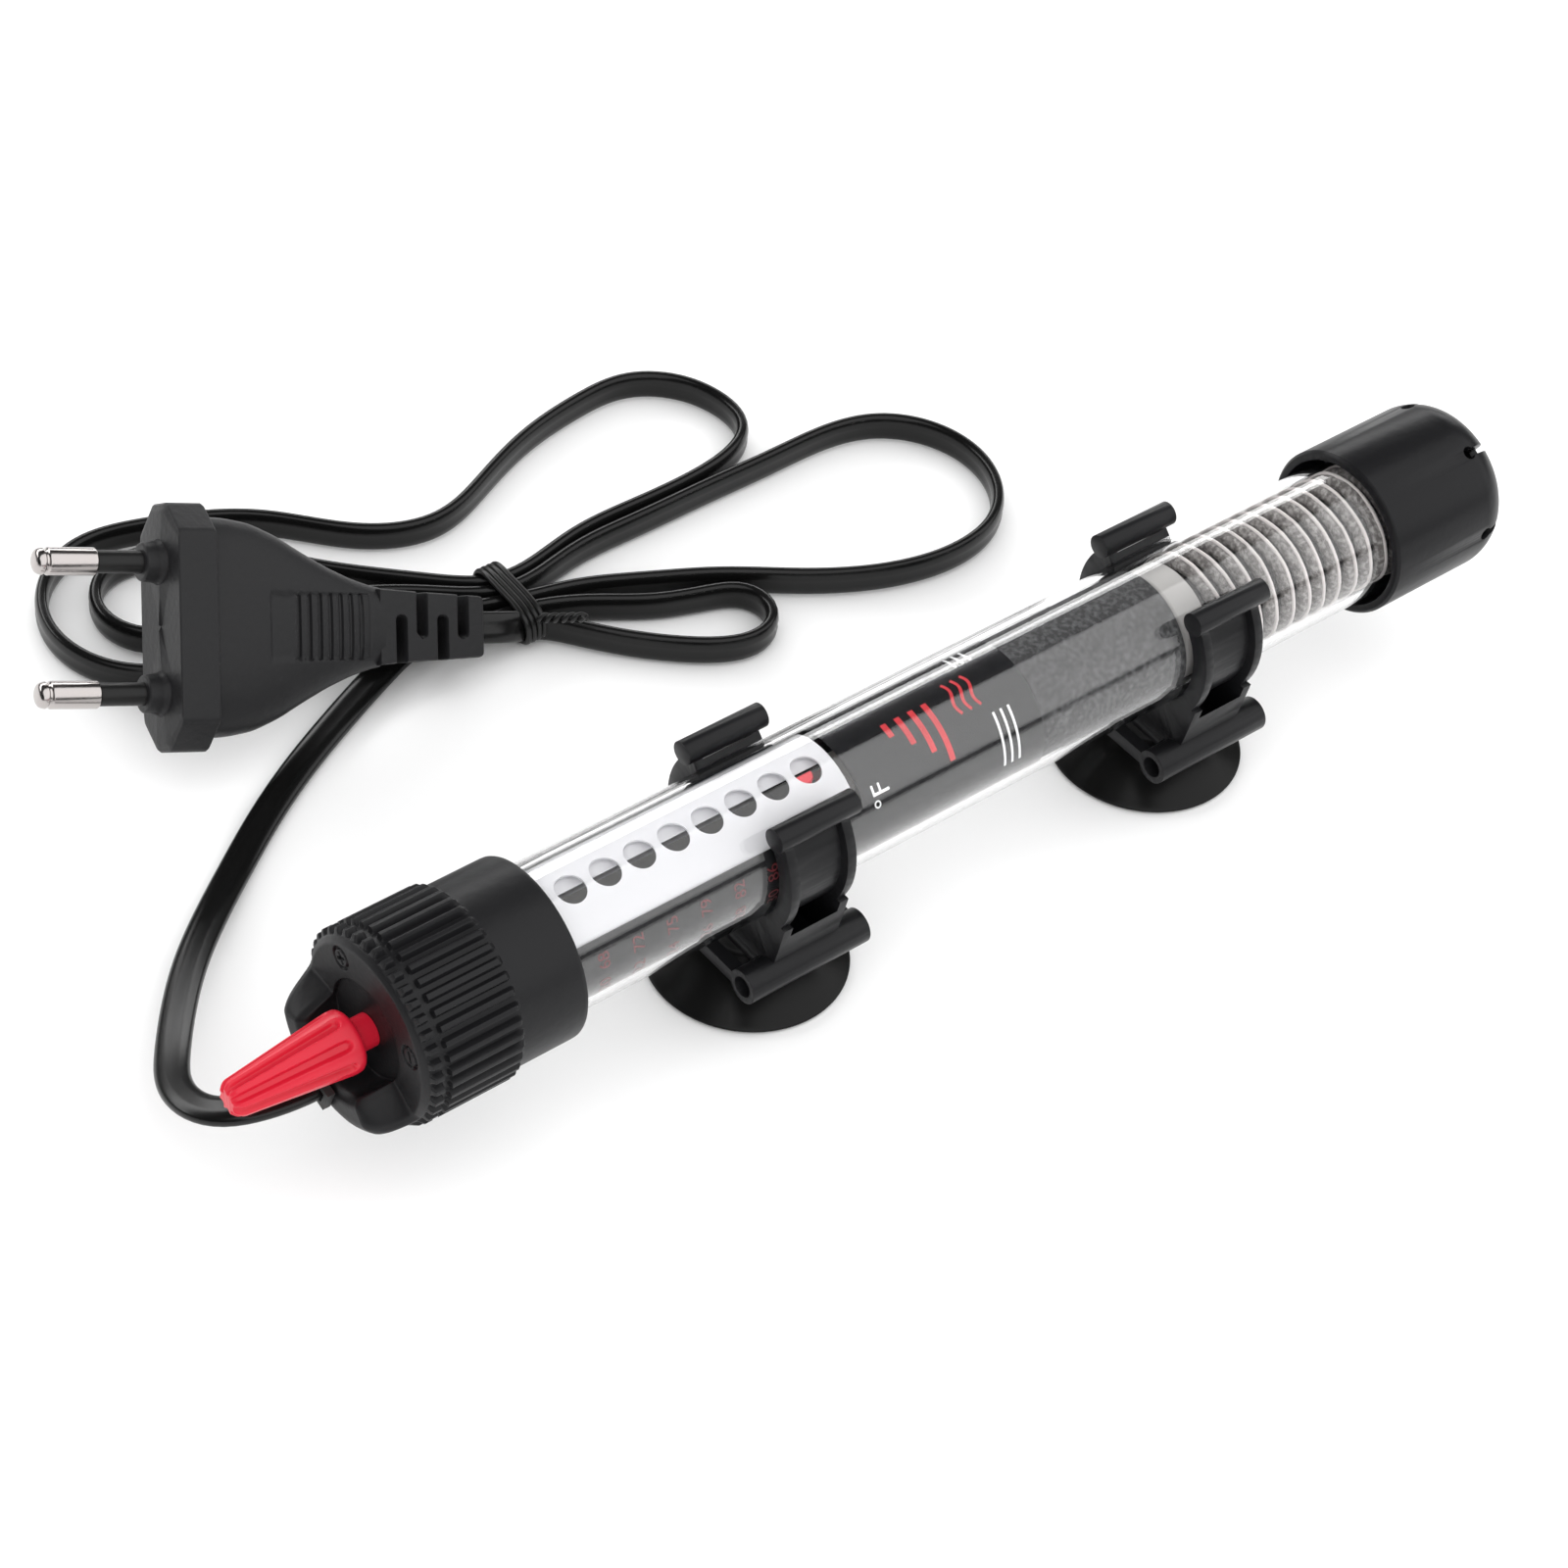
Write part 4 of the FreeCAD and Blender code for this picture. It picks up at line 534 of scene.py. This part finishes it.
def cord_sections():
    """Walks along the CAD cord: the centre and the two half directions of its section."""
    mesh = bmesh.new()
    mesh.from_mesh(nodes["mains_cord"].data)
    bmesh.ops.remove_doubles(mesh, verts=mesh.verts, dist=1e-6)
    bmesh.ops.triangulate(mesh, faces=mesh.faces)
    mesh.verts.index_update()
    spots = np.array([v.co for v in mesh.verts]) / MM
    corners = np.array([[v.index for v in f.verts] for f in mesh.faces])
    mesh.free()
    mids = spots[corners].mean(1)
    reach = np.linalg.norm(spots[corners] - mids[:, None], axis=2).max(1)

    def section(centre, ahead):
        """The outline nearest to centre in the plane across ahead, as ordered points."""
        near = np.linalg.norm(mids - centre, axis=1) < reach + 6.0
        chosen = corners[near]
        height = (spots - centre) @ ahead
        side = height[chosen] > 0
        chosen = chosen[side.any(1) & ~side.all(1)]
        links = {}
        for tri in chosen:
            ends = []
            for a, b in ((0, 1), (1, 2), (2, 0)):
                p, q = tri[a], tri[b]
                if (height[p] > 0) != (height[q] > 0):
                    ends.append((min(p, q), max(p, q)))
            links.setdefault(ends[0], []).append(ends[1])
            links.setdefault(ends[1], []).append(ends[0])
        best = None
        while links:
            key = next(iter(links))
            chain = [key]
            while links.get(key):
                following = links[key].pop()
                if key in links.get(following, []):
                    links[following].remove(key)
                chain.append(following)
                key = following
            for done in set(chain):
                if not links.get(done):
                    links.pop(done, None)
            loop = []
            for p, q in chain:
                part = height[p] / (height[p] - height[q])
                loop.append(spots[p] * (1 - part) + spots[q] * part)
            loop = np.array(loop)
            off = np.linalg.norm((loop.min(0) + loop.max(0)) / 2 - centre)
            if len(loop) > 3 and (best is None or off < best[0]):
                best = (off, loop)
        return None if best is None or best[0] > 2.5 else best[1]

    def middle_of(loop):
        span = np.linalg.norm(np.roll(loop, -1, 0) - loop, axis=1)
        halfway = (loop + np.roll(loop, -1, 0)) / 2
        return (halfway * span[:, None]).sum(0) / span.sum()

    outlet = middle("cord_grommet")
    centre = np.array([FRONT + 7.6, outlet.y, outlet.z])
    ahead = np.array([-1.0, 0, 0])
    centres = []
    while len(centres) < 1200:
        loop = section(centre, ahead)
        if loop is None:
            break
        centres.append(middle_of(loop))
        recent = centres[-4:]
        if len(recent) > 1:
            ahead = recent[-1] - recent[0]
            ahead /= np.linalg.norm(ahead)
        centre = centres[-1] + 1.2 * ahead
    centres = smooth(np.array(centres), 3)
    along = directions(centres)
    wides = []
    for centre, ahead in zip(centres, along):
        loop = section(centre, ahead)
        corner = loop - middle_of(loop)
        pair = corner[np.linalg.norm(corner, axis=1).argsort()[-8:]]
        spread = np.linalg.svd(pair, full_matrices=False)[2][0]
        edges = np.roll(loop, -1, 0) - loop
        edges = edges[np.linalg.norm(edges, axis=1) > 0.2]
        flat = edges * np.sign(edges @ spread)[:, None]
        flat = flat[np.abs(flat @ spread) > 0.75 * np.linalg.norm(flat, axis=1)]
        wide = flat.sum(0)
        wide /= np.linalg.norm(wide)
        if wides and np.dot(wide, wides[-1]) < 0:
            wide = -wide
        wides.append(wide)
    return centres, smooth(np.array(wides), 4)


def build_cord():
    """The flat twin cord with round edges and a faint groove between its two cores."""
    centres, wides = cord_sections()
    along = directions(centres)
    wides -= along * (wides * along).sum(1)[:, None]
    wides /= np.linalg.norm(wides, axis=1)[:, None]
    thins = np.cross(along, wides)
    turn = circle(32)
    half_width, half_thickness, groove_depth, groove_width = 2.4, 1.04, 0.16, 0.42
    flat = np.sign(np.cos(turn)) * np.abs(np.cos(turn)) ** 0.75 * half_width
    thick = np.sign(np.sin(turn)) * np.abs(np.sin(turn)) ** 0.72 * half_thickness
    thick *= 1 - groove_depth * np.exp(-(flat / groove_width) ** 2)
    rings = (centres[:, None] + flat[None, :, None] * wides[:, None]
             + thick[None, :, None] * thins[:, None])
    points, faces = join((rings, ENDS))
    piece("cord", points, faces, "cord_black", stands_for=("mains_cord",), sharp=70)


def build_tie():
    """The twist tie: four turns of covered wire round the bundle, and its twisted tail."""
    low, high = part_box("cord_tie")
    band_half_length, band_half_width = 1.2, 8.2
    x = low.x / MM + band_half_length
    centre_y = high.y / MM - band_half_width
    half, floor, top = 7.15, 0.55, 6.6
    laps, steps, pitch = 4, 48, 0.95
    path = []
    for lap in range(laps):
        for k in range(steps):
            a = -math.pi / 2 - 2 * math.pi * k / steps
            c, s = math.cos(a), math.sin(a)
            y = centre_y + half * np.sign(c) * abs(c) ** 0.55
            z = (floor + top) / 2 + (top - floor) / 2 * np.sign(s) * abs(s) ** 0.6
            along = pitch * (lap + k / steps - laps / 2)
            path.append((x + along + 0.3 * math.sin(2 * a), y, z))
    wire, strand = 0.48, 0.40
    turns = [(hose(path, wire, 10), ENDS)]
    foot = np.array([x, centre_y - half - 0.3, top - 0.3])
    tip = np.array([x + 3.2, centre_y - half - 7.0, top + 3.4])
    run = tip - foot
    across = np.cross(run, (0, 0, 1))
    across /= np.linalg.norm(across)
    up = np.cross(across, run)
    up /= np.linalg.norm(up)
    t = np.linspace(0, 1, 70)
    for phase in (0, math.pi):
        a = 2 * math.pi * 2.6 * t + phase
        tail = (foot + run * t[:, None] + 0.42 * (np.cos(a)[:, None] * across
                                                   + np.sin(a)[:, None] * up))
        turns.append((hose(tail, strand, 10), ENDS))
    points, faces = join(*turns)
    piece("twist_tie", points, faces, "tie_black", stands_for=("cord_tie",), sharp=70)


# ---------------------------------------------------------------- plug

PIN_A = np.array(mounts["plug_pin_a"]["pos_m"]) / MM
PIN_B = np.array(mounts["plug_pin_b"]["pos_m"]) / MM
PLUG_X = np.array(mounts["plug_pin_a"]["axis"], float)
PLUG_X /= np.linalg.norm(PLUG_X)
PLUG_Y = (PIN_B - PIN_A) / np.linalg.norm(PIN_B - PIN_A)
PLUG_Z = np.cross(PLUG_X, PLUG_Y)
PIN_MIDDLE = 13.5
PIN_SIDE = 9.3
PLUG_FACE = (PIN_A + PIN_B) / 2 - PIN_MIDDLE * PLUG_X


def from_plug(points):
    """Points in the plug's own frame (pins along its X, side by side along its Y)."""
    points = np.asarray(points, float)
    return (PLUG_FACE + points[..., :1] * PLUG_X + points[..., 1:2] * PLUG_Y
            + points[..., 2:] * PLUG_Z)


def plug_ring(x, half_width, half_depth, power, turn):
    """A rounded oblong ring across the plug; a higher power makes it squarer."""
    c, s = np.cos(turn), np.sin(turn)
    y = np.sign(c) * np.abs(c) ** (2 / power) * half_width
    z = np.sign(s) * np.abs(s) ** (2 / power) * half_depth
    return np.stack([np.full_like(y, x), y, z], -1)


def build_plug():
    """The moulded plug: its ridged flange and its shouldered body with grip panels."""
    hexagon = [(-17.6, -2.3), (-13.4, -6.8), (13.4, -6.8), (17.6, -2.3), (17.6, 2.3),
               (13.4, 6.8), (-13.4, 6.8), (-17.6, 2.3)]
    outline = rounded(hexagon + hexagon[:1], [0] + [0.7] * 7 + [0], 4)[:-1]
    levels = [(0.0, 0.955), (-0.12, 0.985), (-0.45, 1.0), (-5.5, 1.0), (-5.85, 0.985),
              (-6.0, 0.95), (-6.0, 0.8)]
    rim = np.array([[(x, y * s, z * s) for y, z in outline] for x, s in levels])
    ridge = np.array([[(0.45 * (1 - abs(z) / 6.6), y * 0.955 * s, z * 0.955 * s)
                       for y, z in outline] for s in (0.02, 0.25, 0.5, 0.75, 0.97)])
    turn = circle(220)
    xs = np.concatenate([[-5.0], np.arange(-6.0, -33.6, -0.22)])
    way = [5, 6, 9, 13, 17, 21, 25, 29, 33, 34]
    wide = np.interp(-xs, way, [15.7, 15.7, 15.6, 14.9, 13.2, 10.9, 8.8, 7.1, 5.9, 5.7])
    deep = np.interp(-xs, way, [6.1, 6.1, 6.05, 5.95, 5.75, 5.4, 5.0, 4.5, 3.9, 3.8])
    kernel = np.hanning(19) / np.hanning(19).sum()
    wide = np.convolve(np.pad(wide, 9, "edge"), kernel, "valid")
    deep = np.convolve(np.pad(deep, 9, "edge"), kernel, "valid")
    body = np.array([plug_ring(x, w, d, 3.2, turn) for x, w, d in zip(xs, wide, deep)])
    x, y, z = body[..., 0], body[..., 1], body[..., 2]
    panel = (ease((x + 31.2) / 0.4) * ease((-14.2 - x) / 0.4)
             * ease((4.9 - np.abs(y)) / 0.35) * (np.abs(z) > 2))
    groove = ease((np.abs(((x + 18.2) / 1.75) % 1 - 0.5) * -2 + 0.42) / 0.3)
    groove = groove * (x < -17.8) * (x > -29.9)
    body[..., 2] -= np.sign(z) * (0.30 * panel + 0.42 * panel * groove)
    body[..., 1] -= np.sign(y) * 0.22 * np.exp(-(z / 0.16) ** 2) * (np.abs(y) > 3)
    points, faces = join((from_plug(np.concatenate([ridge, rim])), ENDS),
                         (from_plug(body), ENDS))
    level(piece("plug_shell", points, faces, "plug_black", stands_for=("plug_body",)))


def build_relief():
    """The plug's cord relief: a block that four slots, from either side in turn, make soft."""
    start, end, slot, past_middle = -33, -50, 1.5, 1.6
    top = [(start + 0.4, 5.6)]
    low = [(start + 0.4, -5.6)]
    for index in range(4):
        back = start - 2.5 - 3.4 * index
        half = 5.5 + (back - start) / 17
        side, turn = (top, 1) if index % 2 == 0 else (low, -1)
        side.extend([(back, turn * half), (back, -turn * past_middle),
                     (back - slot, -turn * past_middle), (back - slot, turn * (half - 0.1))])
    path = top + [(end, 4.5), (end, -4.5)] + low[::-1]
    radii = []
    for px, py in path:
        in_slot = abs(abs(py) - past_middle) < 0.01
        radii.append(0.74 if in_slot else (0.9 if px == end else 0.25))
    edge = rounded(path + path[:1], radii + [0], 5)[:-1]
    layers = []
    for share, inset in ((-1, 0.45), (-0.93, 0.12), (-0.8, 0), (0.8, 0), (0.93, 0.12),
                         (1, 0.45)):
        ahead = np.roll(edge, -1, 0) - np.roll(edge, 1, 0)
        normal = np.stack([ahead[:, 1], -ahead[:, 0]], -1)
        normal /= np.maximum(np.linalg.norm(normal, axis=1), 1e-9)[:, None]
        moved = edge - normal * inset * 0.5
        depth = 3.75 + (edge[:, 0] - start) * 0.012
        layers.append(np.stack([moved[:, 0], moved[:, 1], share * depth], -1))
    points, faces = join((from_plug(np.array(layers)), {}))
    last = (len(layers) - 1) * len(edge)
    for a, b, c in tessellate_polygon([[Vector((x, y, 0)) for x, y in edge]]):
        upward = np.cross(edge[b] - edge[a], edge[c] - edge[a]) > 0
        faces.append((last + a, last + b, last + c) if upward else (last + a, last + c, last + b))
        faces.append((a, c, b) if upward else (a, b, c))
    level(piece("cord_relief", points, faces, "plug_black", sharp=50))


def build_pins():
    """The pins: conical feet, black sleeves, nickel tips with a ring cut behind the nose."""
    metal, sleeve, feet = [], [], []
    turn = circle(48)

    def round_part(profile, side):
        profile = np.asarray(profile, float)
        rings = np.stack([np.repeat(profile[:, :1], len(turn), 1),
                          side + profile[:, 1:] * np.cos(turn),
                          profile[:, 1:] * np.sin(turn)], -1)
        return from_plug(rings), ENDS

    for side in (-PIN_SIDE, PIN_SIDE):
        metal.append(round_part(rounded([(9.6, 1.5), (10.05, 1.98), (17.0, 1.98), (17.2, 1.7),
                                         (17.5, 1.7), (17.7, 1.95), (18.6, 1.75), (19.0, 1.0),
                                         (19.0, 0.02)],
                                        [0, .1, .1, .05, .05, .2, .4, .5, 0]), side))
        sleeve.append(round_part([(-1.0, 1.65), (9.8, 1.65), (9.95, 1.55), (9.95, 1.35)], side))
        feet.append(round_part(rounded([(-0.6, 3.4), (0.3, 3.3), (0.9, 2.95), (2.8, 2.75),
                                        (3.0, 2.5), (3.0, 1.85)], [0, .3, .3, .2, .1, 0]),
                               side))
    for name, parts, slot, stands_for in (
            ("pin_tips", metal, "pin_nickel", ("plug_pins",)),
            ("pin_covers", sleeve, "sleeve_black", ("pin_sleeves",)),
            ("pin_feet", feet, "plug_black", ())):
        points, faces = join(*parts)
        piece(name, points, faces, slot, stands_for=stands_for, sharp=45)


# ---------------------------------------------------------------- print

FILM_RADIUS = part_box("label_film")[1].z / MM - AXIS + 0.04


def on_film(flat):
    """Flat print coordinates (station, angle in degrees) as points on the label film."""
    flat = np.asarray(flat, float)
    a = np.radians(flat[:, 1])
    return np.stack([FRONT + flat[:, 0], FILM_RADIUS * np.cos(a),
                     AXIS + FILM_RADIUS * np.sin(a)], -1)


DEGREES = 180 / math.pi / FILM_RADIUS


def lettering(name, texts, finish):
    """Digits and units that read round the tube: (text, station, angle, size) each."""
    points, faces = [], []
    for text, station, angle, size in texts:
        curve = bpy.data.curves.new(name, "FONT")
        curve.body = text
        curve.size = size
        curve.align_x = "CENTER"
        curve.resolution_u = 3
        letter = bpy.data.objects.new(name, curve)
        mesh = bmesh.new()
        mesh.from_mesh(letter.to_mesh())
        bmesh.ops.triangulate(mesh, faces=mesh.faces)
        bmesh.ops.subdivide_edges(mesh, edges=mesh.edges, cuts=2, use_grid_fill=True)
        mesh.verts.index_update()
        flat = [(station - v.co.y, angle - v.co.x * DEGREES) for v in mesh.verts]
        first = len(points)
        points += on_film(flat).tolist()
        faces += [tuple(first + v.index for v in f.verts) for f in mesh.faces]
        mesh.free()
        bpy.data.objects.remove(letter)
    piece(name, points, faces, "print_film", finish=finish)


def bands(name, strips, finish):
    """Printed strokes: each is a list of (station, angle) along its middle, and a width."""
    points, faces = [], []
    for middle_line, width in strips:
        line = np.array(middle_line, float) / (1, DEGREES)
        fine = [line[0]]
        for a, b in zip(line[:-1], line[1:]):
            count = max(1, int(np.linalg.norm(b - a) / 0.4))
            fine += [a + (b - a) * (k + 1) / count for k in range(count)]
        fine = np.array(fine)
        ahead = np.gradient(fine, axis=0)
        ahead /= np.linalg.norm(ahead, axis=1)[:, None]
        across = np.stack([-ahead[:, 1], ahead[:, 0]], -1) * width / 2
        rings = np.stack([fine - across, fine + across], 1).reshape(-1, 2) * (1, DEGREES)
        first = len(points)
        points += on_film(rings).tolist()
        faces += [(first + 2 * k, first + 2 * k + 1, first + 2 * k + 3, first + 2 * k + 2)
                  for k in range(len(fine) - 1)]
    piece(name, points, faces, "print_film", finish=finish)


def build_print():
    """The label's print: faint digits by the scale, the unit, lines and plain red marks."""
    first_hole, hole_pitch = 36.0, 5.63
    stations = [first_hole + hole_pitch * k for k in range(8)]
    fahrenheit = [68, 72, 75, 79, 82, 86, 90, 93]
    celsius = [20, 22, 24, 26, 28, 30, 32, 34]
    lettering("scale_digits",
              [(str(n), s + 0.8, 163, 2.6) for n, s in zip(fahrenheit, stations)]
              + [(str(n), s + 0.8, 187, 2.6) for n, s in zip(celsius, stations)],
              "print_faint")
    lettering("unit_mark", [("°F", 85.2, 146, 4.2)], "print_white")
    lines = []
    for k in range(3):
        lines.append(([(105.2 + 1.35 * k, 128), (105.2 + 1.35 * k, 176)], 0.42))
        lines.append(([(105.2 + 1.35 * k, 62), (105.2 + 1.35 * k, 78)], 0.42))
    bands("print_lines", lines, "print_white")
    red = []
    for k in range(3):
        wave = [(100.8 + 1.7 * k + 0.45 * math.sin(u * 2 * math.pi), 103 + (u - 0.5) * 5 * DEGREES)
                for u in np.linspace(0, 1, 20)]
        red.append((wave, 0.5))
    for k in range(4):
        red.append(([(96.4 - 2.4 * k, 96), (96.4 - 2.4 * k, 148 - 13 * k)], 0.95))
    bands("print_marks", red, "print_red")


# ---------------------------------------------------------------- CAD pieces softened

def soften(node, width):
    """Rounds a CAD piece's edges a little, as moulded plastic is."""
    cad = nodes[node]
    weld = cad.modifiers.new("weld", "WELD")
    weld.merge_threshold = 1e-6
    bevel = cad.modifiers.new("soft_edges", "BEVEL")
    bevel.width = width * MM
    bevel.segments = 2
    bevel.limit_method = "ANGLE"
    bevel.angle_limit = math.radians(40)
    bevel.harden_normals = True


build_cap()
build_knob()
build_glass()
build_coil()
build_pointer()
build_cup("front_cup", "front_suction_cup", "front_cup_body")
build_cup("rear_cup", "rear_suction_cup", "rear_cup_body")
build_cord()
build_tie()
build_plug()
build_relief()
build_pins()
build_print()
for node in ("front_clip", "rear_clip"):
    soften(node, 0.25)
soften("end_guard", 0.2)


# ---------------------------------------------------------------- studio

def glow(name, strength):
    """A finish that only gives light."""
    finish = bpy.data.materials.new(name)
    finish.use_nodes = True
    tree = finish.node_tree
    tree.nodes.clear()
    lamp = tree.nodes.new("ShaderNodeEmission")
    lamp.inputs["Strength"].default_value = strength
    out = tree.nodes.new("ShaderNodeOutputMaterial")
    tree.links.new(lamp.outputs[0], out.inputs["Surface"])
    return finish


def light_wall(name, first, last, distance, strength, start=-0.9, end=2.2):
    """A glowing wall that curves round the heater's axis between two angles."""
    angles = np.radians(np.linspace(first, last, 24))
    points, faces = [], []
    for a in angles:
        for x in (start, end):
            points.append((x, distance * math.cos(a), AXIS * MM + distance * math.sin(a)))
    for k in range(len(angles) - 1):
        faces.append((2 * k, 2 * k + 1, 2 * k + 3, 2 * k + 2))
    mesh = bpy.data.meshes.new(name)
    mesh.from_pydata(points, [], faces)
    mesh.materials.append(glow(name, strength))
    wall = bpy.data.objects.new(name, mesh)
    bpy.context.collection.objects.link(wall)
    wall.visible_camera = False
    wall.visible_shadow = False
    return wall


light_wall("front_softbox", 82, 171, 0.9, 1.65)
light_wall("back_strip", 19, 33, 0.9, 5.0)

FLOOR_HALF = 4
FLOOR_HEIGHT = -0.0002
floor_mesh = bpy.data.meshes.new("floor")
floor_mesh.from_pydata([(x * FLOOR_HALF, y * FLOOR_HALF, FLOOR_HEIGHT)
                        for x, y in ((-1, -1), (1, -1), (1, 1), (-1, 1))], [], [(0, 1, 2, 3)])
floor_mesh.materials.append(paint("floor", (0.93, 0.93, 0.93), 0.9, specular=0.1, grain=0.0))
floor = bpy.data.objects.new("floor", floor_mesh)
bpy.context.collection.objects.link(floor)

# the world is white for the camera and for matt surfaces, and dark in reflections
world = bpy.data.worlds.new("studio")
bpy.context.scene.world = world
world.use_nodes = True
sky = world.node_tree
background = sky.nodes["Background"]
background.inputs["Color"].default_value = (0.02, 0.02, 0.021, 1)
white = sky.nodes.new("ShaderNodeBackground")
white.inputs["Color"].default_value = (1, 1, 1, 1)
seen = sky.nodes.new("ShaderNodeLightPath")
either = sky.nodes.new("ShaderNodeMath")
either.operation = "MAXIMUM"
pick = sky.nodes.new("ShaderNodeMixShader")
sky.links.new(seen.outputs["Is Camera Ray"], either.inputs[0])
sky.links.new(seen.outputs["Is Diffuse Ray"], either.inputs[1])
sky.links.new(either.outputs[0], pick.inputs[0])
sky.links.new(background.outputs[0], pick.inputs[1])
sky.links.new(white.outputs[0], pick.inputs[2])
sky.links.new(pick.outputs[0], sky.nodes["World Output"].inputs["Surface"])

lens = bpy.data.cameras.new("photo_camera")
lens.lens = 91.76
lens.sensor_width = 36
lens.clip_start = 0.01
camera = bpy.data.objects.new("photo_camera", lens)
bpy.context.collection.objects.link(camera)
camera.location = (-0.2627, -0.2758, 0.4101)
camera.rotation_euler = [math.radians(a) for a in (45.167, -5.089, -38.916)]
bpy.context.scene.camera = camera
bpy.context.scene.view_settings.view_transform = "Standard"
